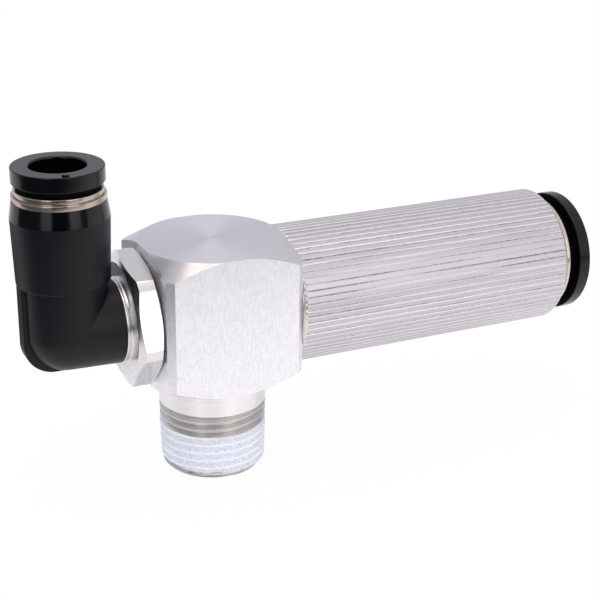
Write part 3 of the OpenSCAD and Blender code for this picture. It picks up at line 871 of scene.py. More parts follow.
@dataclass
class Block:
    """The machined block with its boss, its thread and its drillings.

    Attributes:
        low_z: Height of the thread's end face.
        high_z: Height of the block's top.
        half: Half the block's width.
        axis_z: Height of the ejector axis.
        thread: The port's thread.
        turned_r: Radius of the flat, turned top.
        slope: Slope of the turned cone round the top, in degrees.
        edge_leg: How much the milled edges take off the corners.
        boss_r: Radius of the boss below.
        boss_l: Length of the boss.
        edge_break: Width of the broken edges.
        bore_r: Radius of the vacuum bore.
        bore_flare: Width of the countersink at its mouth.
        bore_roof: How far under the ejector axis the bore ends.
        cross_r: Radius of the drilling from there to the ejector axis.
        drill_point: Slope of the drill's point, in degrees.
        end_chamfer: Chamfer at the thread's end.
        end_slope: Slope of that chamfer, as width to height.
        thread_depth: Depth of the thread from crest to root.
        thread_crest: Width of the thread's crest.
        thread_fillet: Rounding of its crest and root.
        sealant_top: Height where the sealant ends.
        sealant_low: Height where it begins.
        sealant_lift: Height of its crests over the thread's.
        sealant_depth: Depth of its own turns.
        sealant_crest: Width of its crests.
        sealant_fillet: Rounding of its crests and hollows.
        sealant_t: Thickness of the coat.
        crest_highlight_band: Height of the band of painted highlight on its crests.
        lump_w: Mean width of its lumps.
        lump_h: Height of its lumps.
        lip_w: Mean width of a wave of its ragged lip.
        lip_h: Height of that lip.
    """

    low_z: float
    high_z: float
    half: float
    axis_z: float
    thread: TaperThread
    turned_r: float = 11.15
    slope: float = 30.0
    edge_leg: float = 1.05
    boss_r: float = 8.5
    boss_l: float = 4.4
    edge_break: float = 0.07
    bore_r: float = 5.5
    bore_flare: float = 1.4
    bore_roof: float = 8.2
    cross_r: float = 3.2
    drill_point: float = 31.0
    end_chamfer: float = 0.75
    end_slope: float = 0.9
    thread_depth: float = 0.82
    thread_crest: float = 0.22
    thread_fillet: float = 0.06
    sealant_top: float = 1.15
    sealant_low: float = -5.3
    sealant_lift: float = 0.09
    sealant_depth: float = 0.6
    sealant_crest: float = 0.24
    sealant_fillet: float = 0.07
    sealant_t: float = 0.3
    crest_highlight_band: float = 0.09
    lump_w: float = 0.6
    lump_h: float = 0.05
    lip_w: float = 1.3
    lip_h: float = 0.25

    @property
    def under_z(self) -> float:
        """Height of the block's underside."""
        return self.high_z - 2 * self.half

    @property
    def boss_z(self) -> float:
        """Height of the boss's lower face, where the thread begins."""
        return self.under_z - self.boss_l

    def blank(self) -> bmesh.types.BMesh:
        """Turns the block's blank and mills its four sides and four edges.

        Returns:
            The block with its boss, closed below.
        """
        far_r = self.half * 1.5
        drop = (far_r - self.turned_r) * math.tan(math.radians(self.slope))
        outline = [
            (0.0, self.boss_z),
            (self.boss_r, self.boss_z),
            (self.boss_r, self.under_z),
            (self.turned_r, self.under_z),
            (far_r, self.under_z + drop),
            (far_r, self.high_z - drop),
            (self.turned_r, self.high_z),
            (0.0, self.high_z),
        ]
        shape = lathe(outline, steps=144)
        for side in ring_of_directions(4, 0):
            trim(shape, side * self.half, side, material=1)
        diagonal = (2 * self.half - self.edge_leg) / math.sqrt(2)
        for edge in ring_of_directions(4, 45):
            trim(shape, edge * diagonal, edge, material=1)
        soften(shape, self.edge_break)
        return shape

    def threaded_end(self) -> bmesh.types.BMesh:
        """Cuts the taper thread, with its chamfered end, up into the boss.

        Returns:
            A closed, threaded stub.
        """
        outline = self.thread.ridge(0.0, self.thread_depth, self.thread_crest, self.thread_fillet)
        shape = self.thread.sweep(outline, self.low_z, self.boss_z + 0.02)
        low_r = self.thread.gauge_r + self.low_z * self.thread.taper
        end_r = low_r - self.end_slope * self.end_chamfer
        for vert in shape.verts:
            limit = end_r + (vert.co.z - self.low_z) * self.end_slope
            radius = vert.co.xy.length
            if radius > limit:
                vert.co.xy *= limit / radius
        bmesh.ops.holes_fill(shape, edges=shape.edges, sides=0)
        return shape

    def port_drill(self) -> bmesh.types.BMesh:
        """Shapes the vacuum bore, its drill point and the cross drilling.

        Returns:
            The solid that is carved out.
        """
        top = self.axis_z - self.bore_roof
        rise = (self.bore_r - self.cross_r) * math.tan(math.radians(self.drill_point))
        outline = [
            (0.0, self.low_z - OVERLAP),
            (self.bore_r + self.bore_flare, self.low_z - OVERLAP),
            (self.bore_r, self.low_z + self.bore_flare - OVERLAP),
            (self.bore_r, top),
            (self.cross_r, top + rise),
            (self.cross_r, self.axis_z),
            (0.0, self.axis_z),
        ]
        return lathe(outline, steps=96)

    def axis_drill(self) -> bmesh.types.BMesh:
        """Shapes the bores along the ejector axis.

        Returns:
            The solid that is carved out.
        """
        # Start, end and radius of each bore: the stem's thread, the nozzle's
        # head, the chamber between the two, the diffuser's head, the sleeve's
        # spigot.
        stops = [
            (-self.half - OVERLAP, -6.5, 6.53),
            (-6.5, -4.0, 6.13),
            (-4.0, 4.0, 4.2),
            (4.0, 6.45, 6.13),
            (6.45, self.half + OVERLAP, 8.03),
        ]
        outline: list[Point] = [(0.0, stops[0][0])]
        for start, end, radius in stops:
            outline += [(radius, start), (radius, end)]
        outline.append((0.0, stops[-1][1]))
        return lathe(outline, steps=96)

    def sealant(self) -> bmesh.types.BMesh:
        """Lays sealant over the middle turns: lumpy, with a ragged lower lip.

        Returns:
            The sealant, with material index 1 on its crests.
        """
        outline = self.thread.ridge(
            self.sealant_lift, self.sealant_depth, self.sealant_crest, self.sealant_fillet
        )
        shape = self.thread.sweep(outline, self.sealant_low, self.sealant_top, steps=160)
        for vert in shape.verts:
            over = vert.co.z - self.sealant_low
            if over < self.lip_h:
                wave = noise.noise(Vector((vert.co.x, vert.co.y, 0)) / self.lip_w)
                # The lip hangs a little low, and the lumps swell more than
                # they sink, so that no metal shows through.
                vert.co.z += (1 - over / self.lip_h) * self.lip_h * (wave - 0.1)
            lump = self.lump_h * (noise.noise(vert.co / self.lump_w) + 0.3)
            vert.co.xy *= 1 + lump / vert.co.xy.length
        # Faces on the crests take the paler material, a painted highlight.
        crest_r = self.thread.gauge_r + self.sealant_lift
        for face in shape.faces:
            spot = face.calc_center_median()
            radius = spot.xy.length / (1 + spot.z * self.thread.taper / self.thread.gauge_r)
            face.material_index = 1 if radius > crest_r - self.crest_highlight_band else 0
        bmesh.ops.solidify(shape, geom=shape.faces, thickness=self.sealant_t)
        return shape

    def build(self) -> None:
        """Builds the block and the sealant on its thread."""
        centre = Vector((0, 0, self.axis_z))
        port = (Axis.PORT, centre)
        # Turned cone and bores: a bright wedge that runs across the marks.
        turned = TurnedMetal("turned_aluminium", "E1DEE1", 0.34, 0.9, *port).build()
        # Brushed flats: an even satin that hardly mirrors, with painted shade in the depths of the
        # strokes.
        milled = MilledAluminium("milled_aluminium", "F8F9FD").build()
        # Faced top: rings round the middle, with two soft fans of light.
        faced = TurnedMetal("faced_aluminium", "E2E2E9", 0.45, 0.6, *port).build()
        # Cut thread: shiny flanks, with little swing in their gloss.
        threaded = TurnedMetal("cut_thread", "D2D1CE", 0.24, 0.8, *port, mark_gloss=0.06).build()
        # Fine cut on the boss: long bright columns with clear rings.
        boss = TurnedMetal("turned_boss", "F1F0F1", 0.24, 0.9, *port, 0.25, 0.003, 0.16).build()
        block = solid("block", self.blank())
        apply_tool(block, solid("stub", self.threaded_end()), Cut.JOIN)
        apply_tool(block, solid("port_drill", self.port_drill()), Cut.CARVE)
        apply_tool(block, solid("axis_drill", self.axis_drill(), along_ejector(self.axis_z)), Cut.CARVE)
        for face in block.data.polygons:
            spot = face.center
            outside = spot.xy.length > self.bore_r + 0.1
            if spot.z > self.high_z - MERGE:
                face.material_index = 2
            elif outside and spot.z < self.boss_z - MERGE:
                face.material_index = 3
            elif outside and spot.z < self.under_z - MERGE:
                face.material_index = 4
        finish_piece(
            block,
            [turned, milled, faced, threaded, boss],
            Fitting("ejector", "turned_aluminium", ("ejector_body",)),
        )
        finish_piece(
            solid("sealant", self.sealant()),
            [
                # Chalk white, with painted shade of a faint blue in its hollows.
                DriedSealant("dried_sealant", "F3F5FD", "D6DBEA", 0.3, 0.05).build(),
                # Plain white on the crests, a painted highlight, with a finer grain.
                DriedSealant("sealant_crest", "FFFFFF", "F4F6FC", 0.3, 0.02).build(),
            ],
            Fitting("ejector", "dried_sealant", ("thread_sealant",)),
            sharp_over=60.0,
        )


# --------------------------------------------------------------------- sleeve


@dataclass
class Sleeve:
    """The knurled exhaust sleeve.

    Attributes:
        axis_z: Height of its axis.
        start_x: Station of its spigot's end.
        face_x: Station of the block's face.
        end_x: Station of its mouth.
        seal_x: Station of the step behind the rubber seal.
        crest_r: Radius of the knurl's crests.
        spigot_r: Radius of the spigot in the block.
        seam: Width of the undercut against the block's face.
        near_edge: Rounding of the edge at the block.
        far_edge: Chamfer of the edge at the mouth.
        seat_r: Radius of the guide ring's seat.
        ledge_l: Depth of that seat.
        ledge: Width of the ledge behind it.
        tube_r: Radius of the tube's socket.
        tube_depth: How deep the tube goes in.
        bore_r: Radius of the air way.
        grooves: Number of grooves of the knurl.
        facets: Facets from one groove to the next.
        groove_depth: Mean depth of a groove.
        flank_share: Depth of the facets beside a groove's floor, as a share.
        stations: Rows of facets along the knurl.
    """

    axis_z: float
    start_x: float
    face_x: float
    end_x: float
    seal_x: float
    crest_r: float = 11.0
    spigot_r: float = 8.0
    seam: float = 0.12
    near_edge: float = 0.35
    far_edge: float = 0.5
    seat_r: float = 8.9
    ledge_l: float = 4.55
    ledge: float = 0.35
    tube_r: float = 6.1
    tube_depth: float = 18.05
    bore_r: float = 4.98
    grooves: int = 68
    facets: int = 8
    groove_depth: float = 0.19
    flank_share: float = 0.42
    stations: int = 40

    @property
    def knurl_ends(self) -> Point:
        """Stations where the full diameter begins and ends."""
        return self.face_x + self.seam + self.near_edge, self.end_x - self.far_edge

    def blank(self) -> bmesh.types.BMesh:
        """Turns the tube with its spigot, its chamfers and its seat.

        Returns:
            The plain tube.
        """
        near, far = self.knurl_ends
        inner_r = self.seat_r - self.ledge
        outline: list[Point] = [
            (self.bore_r, self.start_x),
            (self.spigot_r - 0.4, self.start_x),
            (self.spigot_r, self.start_x + 0.4),
            (self.spigot_r, self.face_x),
            (self.crest_r - self.near_edge - self.seam, self.face_x),
            (self.crest_r - self.near_edge - self.seam, self.face_x + self.seam),
            (self.crest_r - self.near_edge, self.face_x + self.seam),
            (self.crest_r - 0.4 * self.near_edge, near - 0.65 * self.near_edge),
        ]
        outline += [
            (self.crest_r, near + (far - near) * i / self.stations) for i in range(self.stations + 1)
        ]
        outline += [
            (self.crest_r - self.far_edge, self.end_x),
            (self.seat_r, self.end_x),
            (self.seat_r, self.end_x - self.ledge_l),
            (inner_r, self.end_x - self.ledge_l),
            (inner_r, self.seal_x),
            (self.tube_r, self.seal_x),
            (self.tube_r, self.end_x - self.tube_depth),
            (self.bore_r, self.end_x - self.tube_depth),
        ]
        return lathe(outline, steps=self.grooves * self.facets, closed=True)

    def press_knurl(self, shape: bmesh.types.BMesh) -> None:
        """Presses straight V grooves into the tube, uneven as a knurl is.

        Args:
            shape: The plain tube, which is changed.
        """
        step = math.tau / (self.grooves * self.facets)
        share = {0: 1.0, 1: self.flank_share, self.facets - 1: self.flank_share}
        for vert in shape.verts:
            radius = vert.co.xy.length
            if radius < self.crest_r - self.far_edge - MERGE or vert.co.z < self.face_x:
                continue
            index = round(math.atan2(vert.co.y, vert.co.x) / step) % (self.grooves * self.facets)
            groove = (index + 1) // self.facets
            pressed = share.get(index % self.facets, 0.0)
            if pressed == 0.0:
                continue
            # Far apart from groove to groove, slow along each one.
            uneven = noise.noise(Vector((groove * 7.3, vert.co.z * 0.08, 1.7)))
            depth = self.groove_depth * pressed * (0.85 + 0.5 * uneven)
            floor = self.crest_r - depth
            if radius > floor:
                vert.co.xy *= floor / radius

    def build(self) -> None:
        """Builds the sleeve."""
        shape = self.blank()
        self.press_knurl(shape)
        near, far = self.knurl_ends
        for face in shape.faces:
            spot = face.calc_center_median()
            knurled = near < spot.z < far and spot.xy.length > self.seat_r + 0.5
            face.material_index = 0 if knurled else 1
        sleeve = solid("sleeve", shape, along_ejector(self.axis_z))
        # Pressed knurl: satin lands between fine lines of painted highlight and painted shade.
        tube = (self.axis_z, self.crest_r, self.groove_depth)
        knurl = KnurledAluminium("knurled_aluminium", "CCC9CF", "E9E4E8", "706D74", *tube).build()
        centre = Vector((0, 0, self.axis_z))
        # Turned ends and bore: a brighter rim round each end of the knurl.
        turned = TurnedMetal("turned_tube_end", "EAE3DE", 0.3, 0.6, Axis.EJECTOR, centre).build()
        finish_piece(
            sleeve,
            [knurl, turned],
            Fitting("ejector", "knurled_aluminium", ("exhaust_sleeve",)),
            sharp_over=24.0,
        )


# ----------------------------------------------------------------------- stem


@dataclass
class Stem:
    """The nickel-plated swivel stem: hexagon, collar, thread and spigot.

    Attributes:
        axis_z: Height of its axis.
        face_x: Station of the block's face, negative.
        end_x: Station of its end inside the block.
        tip_x: Station of its spigot's tip inside the elbow.
        hex_w: Width across the hexagon's flats.
        corner_r: Radius of the hexagon's turned corners.
        hex_l: Length of the hexagon.
        hex_face_r: Radius of the flat face inside its chamfers.
        hex_slope: Slope of those chamfers, in degrees.
        hex_turn: Angle at which the hexagon stopped, in degrees.
        collar_r: Radius of the collar.
        collar_l: Length of the collar.
        groove_w: Width of the fine groove round the collar.
        groove_depth: Depth of that groove.
        thread_r: Radius of the thread's crests.
        spigot_r: Radius of the spigot.
        bore_r: Radius of the supply way.
        edge_break: Width of the broken edges.
    """

    axis_z: float
    face_x: float
    end_x: float
    tip_x: float
    hex_w: float = 19.0
    corner_r: float = 10.5
    hex_l: float = 3.92
    hex_face_r: float = 8.8
    hex_slope: float = 22.0
    hex_turn: float = 13.0
    collar_r: float = 6.5
    collar_l: float = 0.88
    groove_w: float = 0.1
    groove_depth: float = 0.12
    thread_r: float = 6.5
    spigot_r: float = 4.6
    bore_r: float = 2.6
    edge_break: float = 0.05

    def blank(self) -> bmesh.types.BMesh:
        """Turns the stem and mills its six flats.

        Returns:
            The stem, with hard edges.
        """
        hex_x = self.face_x - self.hex_l
        collar_x = hex_x - self.collar_l
        groove_x = hex_x - self.collar_l / 2
        drop = (self.corner_r - self.hex_face_r) * math.tan(math.radians(self.hex_slope))
        corners: list[Corner] = [
            (self.bore_r, self.tip_x, 0.0),
            (self.spigot_r, self.tip_x, 0.2),
            (self.spigot_r, collar_x, 0.0),
            (self.collar_r, collar_x, 0.14),
            (self.collar_r, groove_x, 0.0),
            (self.collar_r - self.groove_depth, groove_x, 0.0),
            (self.collar_r - self.groove_depth, groove_x + self.groove_w, 0.0),
            (self.collar_r, groove_x + self.groove_w, 0.0),
            (self.collar_r, hex_x, 0.1),
            (self.hex_face_r, hex_x, 0.0),
            (self.corner_r, hex_x + drop, 0.0),
            (self.corner_r, self.face_x - drop, 0.0),
            (self.hex_face_r, self.face_x, 0.0),
            (self.thread_r, self.face_x, 0.0),
            (self.thread_r, self.end_x, 0.3),
            (self.bore_r, self.end_x, 0.0),
        ]
        shape = lathe(rounded(corners, closed=True), closed=True)
        for flat in ring_of_directions(6, self.hex_turn):
            trim(shape, flat * self.hex_w / 2, flat)
        return shape

    def build(self) -> None:
        """Builds the stem."""
        centre = Vector((0, 0, self.axis_z))
        shape = self.blank()
        soften(shape, self.edge_break, over=15.0)
        stem = solid("stem", shape, along_ejector(self.axis_z))
        # Bright nickel plate: it mirrors softly, with hardly a mark.
        plate = TurnedMetal("nickel_plate", "E5E4E5", 0.26, 0.3, Axis.EJECTOR, centre, 0.3, 0.001, 0.06)
        finish_piece(stem, [plate.build()], Fitting("ejector", "plated_brass", ("swivel_stem",)))


# ---------------------------------------------------------------------- elbow


@dataclass
class Elbow:
    """The moulded elbow that swivels on the stem.

    Attributes:
        centre: Crossing of its leg's axis and the ejector axis.
        hub_l: Length of the hub from that crossing.
        mouth_h: Height of the leg's mouth over that crossing.
        bend_r: Radius of the bend.
        hub_r: Radius of the hub's face.
        step_h: Height of the step where the leg widens.
        low_r: Radius of the leg over the step.
        wide_h: Height where the leg is widest.
        wide_r: Radius there.
        mouth_r: Radius of the leg at its mouth.
        rib_t: Thickness of the fin.
        rib_r: Radius of the fin's round corner.
        rib_out: How far the fin stands out from the leg's axis.
        rib_fillet: Rounding of the fin's edges.
        mitre_fillet: Rounding of the inner corner of the bend.
        seat_r: Radius of the guide ring's seat.
        ledge_l: Depth of that seat.
        ledge: Width of the ledge behind it.
        seal_l: Depth of the step behind the rubber seal.
        tube_r: Radius of the tube's socket.
        tube_depth: How deep the tube goes in.
        bore_r: Radius of the air way.
        spigot_r: Radius of the bore that runs on the spigot.
        spigot_l: Station of that bore's end.
        facets: Facets of the bend, all round.
    """

    centre: Vector
    hub_l: float
    mouth_h: float
    bend_r: float = 6.3
    hub_r: float = 6.5
    step_h: float = 7.7
    low_r: float = 6.95
    wide_h: float = 17.75
    wide_r: float = 7.3
    mouth_r: float = 6.9
    rib_t: float = 2.8
    rib_r: float = 4.7
    rib_out: float = 6.8
    rib_fillet: float = 0.3
    mitre_fillet: float = 0.35
    seat_r: float = 6.2
    ledge_l: float = 3.85
    ledge: float = 0.35
    seal_l: float = 9.0
    tube_r: float = 4.1
    tube_depth: float = 13.87
    bore_r: float = 2.9
    spigot_r: float = 4.65
    spigot_l: float = 1.3
    facets: int = 64

    def arc(self, start: float, end: float, height: float) -> bmesh.types.BMesh:
        """Makes a run of the tube's round section at one height.

        Args:
            start: First angle from +X towards +Y, in degrees.
            end: Last angle.
            height: Height of the section.

        Returns:
            A shape of edges in a row.
        """
        shape = bmesh.new()
        count = round(self.facets * (end - start) / 360)
        verts = []
        for i in range(count + 1):
            angle = math.radians(start + (end - start) * i / count)
            verts.append(
                shape.verts.new((self.bend_r * math.cos(angle), self.bend_r * math.sin(angle), height))
            )
        for pair in zip(verts, verts[1:]):
            shape.edges.new(pair)
        return shape

    def knee(self) -> bmesh.types.BMesh:
        """Makes the bend: a quarter ball outside and a mitre inside.

        Returns:
            The closed bend, from inside the leg to the hub's face.
        """
        shape = self.arc(90, 270, 0.0)
        bmesh.ops.spin(
            shape,
            geom=[*shape.verts, *shape.edges],
            cent=(0, 0, 0),
            axis=(0, 1, 0),
            dvec=(0, 0, 0),
            angle=math.radians(-90),
            steps=self.facets // 4,
            use_merge=False,
        )
        top = self.step_h + OVERLAP
        rims = [e for e in shape.edges if len(e.link_faces) == 1]
        upper = [e for e in rims if all(abs(v.co.z) < MERGE and v.co.x < MERGE for v in e.verts)]
        right = [e for e in rims if all(abs(v.co.x) < MERGE and v.co.z < MERGE for v in e.verts)]
        for rim, way in ((upper, (0, 0, top)), (right, (self.hub_l, 0, 0))):
            drawn = bmesh.ops.extrude_edge_only(shape, edges=rim)
            bmesh.ops.translate(shape, vec=way, verts=new_corners(drawn))
        inner = self.arc(-90, 90, 0.0)
        for vert in inner.verts:
            vert.co.z = vert.co.x
        for direction, size in (((0, 0, 1), top), ((1, 0, 0), self.hub_l)):
            base = inner.copy() if direction[2] else inner
            made = bmesh.ops.extrude_edge_only(base, edges=base.edges[:])
            axis = Vector(direction)
            for vert in new_corners(made):
                vert.co += axis * (size - vert.co.dot(axis))
            mesh = bpy.data.meshes.new("mitre")
            base.to_mesh(mesh)
            base.free()
            shape.from_mesh(mesh)
            bpy.data.meshes.remove(mesh)
        bmesh.ops.remove_doubles(shape, verts=shape.verts, dist=10 * MERGE)
        for vert in shape.verts:
            if vert.co.x > MERGE and vert.co.z < vert.co.x - MERGE:
                vert.co.yz *= 1 + (self.hub_r / self.bend_r - 1) * vert.co.x / self.hub_l
        bmesh.ops.holes_fill(shape, edges=shape.edges, sides=0)
        bmesh.ops.recalc_face_normals(shape, faces=shape.faces)
        mitre = [
            e
            for e in shape.edges
            if all(v.co.x > MERGE and abs(v.co.x - v.co.z) < 10 * MERGE for v in e.verts)
        ]
        round_edges(shape, mitre, self.mitre_fillet, 3)
        return shape

    def leg(self) -> bmesh.types.BMesh:
        """Turns the leg above the step, slightly wider towards its ring.

        Returns:
            The closed leg, with material index 1 on its glossy neck.
        """
        corners: list[Corner] = [
            (0.0, self.step_h, 0.0),
            (self.low_r, self.step_h, 0.22),
            (self.wide_r, self.wide_h, 0.6),
            (self.mouth_r, self.mouth_h, 0.12),
            (0.0, self.mouth_h, 0.0),
        ]
        shape = lathe(rounded(corners), steps=96)
        for face in shape.faces:
            if face.calc_center_median().z > self.wide_h:
                face.material_index = 1
        return shape

    def rib(self) -> bmesh.types.BMesh:
        """Makes the fin down the outside of the bend, with its round corner.

        Returns:
            The closed fin.
        """
        out, low, radius = self.rib_out, self.bend_r, self.rib_r
        shape = bmesh.new()
        outline: list[Point] = [(0.0, -low), (0.0, self.step_h), (-out, self.step_h)]
        steps = 12
        for k in range(steps + 1):
            angle = math.radians(180 + 90 * k / steps)
            x, z = radius - out + radius * math.cos(angle), radius - low + radius * math.sin(angle)
            outline.append((x, z))
        verts = [shape.verts.new((x, -self.rib_t / 2, z)) for x, z in outline]
        face = shape.faces.new(verts)
        made = bmesh.ops.extrude_face_region(shape, geom=[face])
        bmesh.ops.translate(shape, vec=(0, self.rib_t, 0), verts=new_corners(made))
        bmesh.ops.recalc_face_normals(shape, faces=shape.faces)
        soften(shape, self.rib_fillet, over=40.0, segments=3)
        return shape

    def socket(self) -> bmesh.types.BMesh:
        """Shapes the stepped bore of the leg and the air way below it.

        Returns:
            The solid that is carved out.
        """
        inner_r = self.seat_r - self.ledge
        outline = [
            (0.0, self.mouth_h + OVERLAP),
            (self.seat_r, self.mouth_h + OVERLAP),
            (self.seat_r, self.mouth_h - self.ledge_l),
            (inner_r, self.mouth_h - self.ledge_l),
            (inner_r, self.mouth_h - self.seal_l),
            (self.tube_r, self.mouth_h - self.seal_l),
            (self.tube_r, self.mouth_h - self.tube_depth),
            (self.bore_r, self.mouth_h - self.tube_depth),
            (self.bore_r, 0.0),
            (self.bore_r * 0.7, -self.bore_r * 0.7),
            (0.0, -self.bore_r),
        ]
        return lathe(outline, steps=64)

    def hub_bore(self) -> bmesh.types.BMesh:
        """Shapes the bore that runs on the spigot.

        Returns:
            The solid that is carved out.
        """
        way_r, start = self.bore_r - 0.1, 0.3
        outline = [
            (0.0, start),
            (way_r, start),
            (way_r, self.spigot_l),
            (self.spigot_r, self.spigot_l),
            (self.spigot_r, self.hub_l + OVERLAP),
            (0.0, self.hub_l + OVERLAP),
        ]
        return lathe(outline, steps=64)

    def build(self) -> None:
        """Builds the elbow."""
        # Sparked mould, filled nylon: a deep black with a broad, dull sheen.
        satin = MouldedPlastic("satin_resin", "070911", 0.42, 0.28).build()
        # Polished band of the same mould at the neck: narrow, clear lights.
        gloss = MouldedPlastic("gloss_resin", "06070B", 0.14, 0.36).build()
        here = Matrix.Translation(self.centre)
        elbow = solid("elbow", self.knee(), here)
        apply_tool(elbow, solid("rib", self.rib(), here), Cut.JOIN)
        leg = solid("leg", self.leg(), here)
        for part in (elbow, leg):
            part.data.materials.append(satin)
            part.data.materials.append(gloss)
        apply_tool(elbow, leg, Cut.JOIN)
        apply_tool(elbow, solid("socket", self.socket(), here), Cut.CARVE)
        hub = here @ Matrix.Rotation(math.radians(90), 4, "Y")
        apply_tool(elbow, solid("hub_bore", self.hub_bore(), hub), Cut.CARVE)
        finish_piece(
            elbow,
            [satin, gloss],
            Fitting("elbow", "black_resin", ("elbow_housing",)),
        )


# --------------------------------------------------------------- push-in port


@dataclass
class PushIn:
    """Guide ring and release ring of a push-in port, drawn from its mouth.

    Attributes:
        name: Name of the port.
        carrier: Body that carries the port.
        place: Placement of the mouth, with Z out of the port.
        tip: Depth of the release ring's tip, negative.
        bore_r: Radius of the release ring's hole.
        collar_r: Radius of the release ring inside the guide ring.
        shoulder_r: Radius of its shoulder under the flange.
        flange_r: Radius of its flange.
        flange_t: Thickness of its flange.
        stroke: How far it can be pressed.
        guide_h: Height of the guide ring over the mouth.
        top_r: Radius of the guide ring's upper band.
        band_r: Radius of its lower band.
        skirt_r: Radius of its skirt in the seat.
        skirt_l: Length of its skirt.
        gate_turn: Angle of the gate mark from the front, in degrees.
        gate_r: Radius of the gate mark's nub.
        gate_h: Height of the nub.
        gap: Running gap between the two rings.
        dip: How far the shoulder reaches into the guide ring.
        barb: Width and height of the barbs that hold the release ring.
        catch: Share of the skirt's length above the barbs.
        slit: Width of the slits in the snap end.
        tip_wall: Wall of the release ring at its tip.
    """

    name: str
    carrier: str
    place: Matrix
    tip: float
    bore_r: float
    collar_r: float
    shoulder_r: float
    flange_r: float
    flange_t: float
    stroke: float
    guide_h: float
    top_r: float
    band_r: float
    skirt_r: float
    skirt_l: float
    gate_turn: float = -5.4
    gate_r: float = 0.55
    gate_h: float = 0.35
    gap: float = 0.05
    dip: float = 0.1
    barb: float = 0.4
    catch: float = 0.3
    slit: float = 0.8
    tip_wall: float = 0.5

    def guide(self) -> bmesh.types.BMesh:
        """Turns the guide ring: two bands, a groove, a step and a skirt.

        Returns:
            The ring, with its mouth at height 0.
        """
        pocket_r = self.collar_r + self.barb + 2 * self.gap
        catch_z = self.gap - self.catch * self.skirt_l
        step_z = self.guide_h - self.dip - self.stroke - self.gap
        step_r = self.shoulder_r + self.gap
        groove_z = self.guide_h / 2
        corners: list[Corner] = [
            (self.collar_r + self.gap, catch_z, 0.0),
            (self.collar_r + self.gap, step_z, 0.0),
            (step_r, step_z, 0.0),
            (step_r, self.guide_h, 0.03),
            (self.top_r, self.guide_h, 0.14),
            (self.top_r, groove_z + 0.1, 0.04),
            (self.top_r - 0.1, groove_z + 0.1, 0.0),
            (self.top_r - 0.1, groove_z, 0.0),
            (self.band_r, groove_z, 0.1),
            (self.band_r, 0.0, 0.06),
            (self.skirt_r, 0.0, 0.0),
            (self.skirt_r, -self.skirt_l, 0.0),
            (pocket_r, -self.skirt_l, 0.0),
            (pocket_r, catch_z, 0.0),
        ]
        return lathe(rounded(corners, closed=True), closed=True)

    def release(self) -> bpy.types.Object:
        """Turns the release ring, slits its snap end and adds its gate mark.

        Returns:
            The ring in place, in millimetres.
        """
        low = self.guide_h + self.stroke + self.gap
        top = low + self.flange_t
        foot = self.guide_h - self.dip
        catch = -self.catch * self.skirt_l
        corners: list[Corner] = [
            (self.bore_r, self.tip, 0.0),
            (self.bore_r, top, 0.3),
            (self.flange_r, top, 0.16),
            (self.flange_r, low, 0.16),
            (self.shoulder_r, low, 0.0),
            (self.shoulder_r, foot, 0.08),
            (self.collar_r, foot, 0.0),
            (self.collar_r, catch, 0.0),
            (self.collar_r + self.barb, catch, 0.0),
            (self.collar_r + self.barb, catch - self.barb, 0.0),
            (self.bore_r + self.tip_wall, self.tip, 0.0),
        ]
        name = f"{self.name}_release"
        shape = lathe(rounded(corners, closed=True), closed=True)
        # The faces below the flange take the copy of the resin with painted shade.
        for face in shape.faces:
            spot = face.calc_center_median()
            if self.tip < spot.z < low + MERGE and spot.xy.length > self.bore_r + MERGE:
                face.material_index = 1
        ring = solid(name, shape, self.place)
        for turn in (0, 90):
            saw = bmesh.new()
            size = (3 * self.collar_r, self.slit, catch - self.tip + OVERLAP)
            bmesh.ops.create_cube(saw, size=1.0, matrix=Matrix.Diagonal((*size, 1)))
            middle = Matrix.Translation((0, 0, (catch + self.tip - OVERLAP) / 2))
            spin = Matrix.Rotation(math.radians(turn), 4, "Z")
            apply_tool(ring, solid("saw", saw, self.place @ spin @ middle), Cut.CARVE)
        sunk, peak = top - 0.3, top + self.gate_h
        nub: list[Corner] = [
            (0.0, sunk, 0.0),
            (self.gate_r, sunk, 0.0),
            (self.gate_r, peak, 0.1),
            (0.0, peak, 0.0),
        ]
        turn = math.radians(self.gate_turn)
        middle_r = self.flange_r - self.gate_r - 0.2
        spot = Matrix.Translation((middle_r * math.sin(turn), -middle_r * math.cos(turn), 0))
        apply_tool(ring, solid("nub", lathe(rounded(nub), steps=24), self.place @ spot), Cut.JOIN)
        return ring

    def build(
        self, plate: bpy.types.Material, flange: bpy.types.Material, neck: bpy.types.Material
    ) -> None:
        """Builds both rings.

        Args:
            plate: Finish of the guide ring.
            flange: Finish of the release ring's flange.
            neck: Finish of the release ring below its flange, a copy of the resin with painted shade.
        """
        finish_piece(
            solid(f"{self.name}_guide", self.guide(), self.place),
            [plate],
            Fitting(self.carrier, "guide_plating", (f"{self.name}_guide_ring",)),
        )
        finish_piece(
            self.release(),
            [flange, neck],
            Fitting(f"{self.name}_release", "release_resin", (f"{self.name}_release_ring",)),
        )


# --------------------------------------------------------------------- studio


def nearness(
    tree: bpy.types.NodeTree, point: bpy.types.NodeSocket, spot: Corner, reach: Point
) -> bpy.types.NodeSocket:
    """Fades from 0 to 1 with the distance from a spot.

    Args:
        tree: The node tree.
        point: Where the surface is.
        spot: The spot, in metres.
        reach: Distances at which the fade is 0 and 1, in metres.

    Returns:
        A socket that goes from 0 to 1.
    """
    away = add_node(tree, "ShaderNodeVectorMath", {0: point, 1: spot}, operation="DISTANCE")
    feeds = {"Value": away.outputs["Value"], "From Min": reach[0], "From Max": reach[1]}
    return add_node(tree, "ShaderNodeMapRange", feeds, interpolation_type="SMOOTHSTEP").outputs[0]


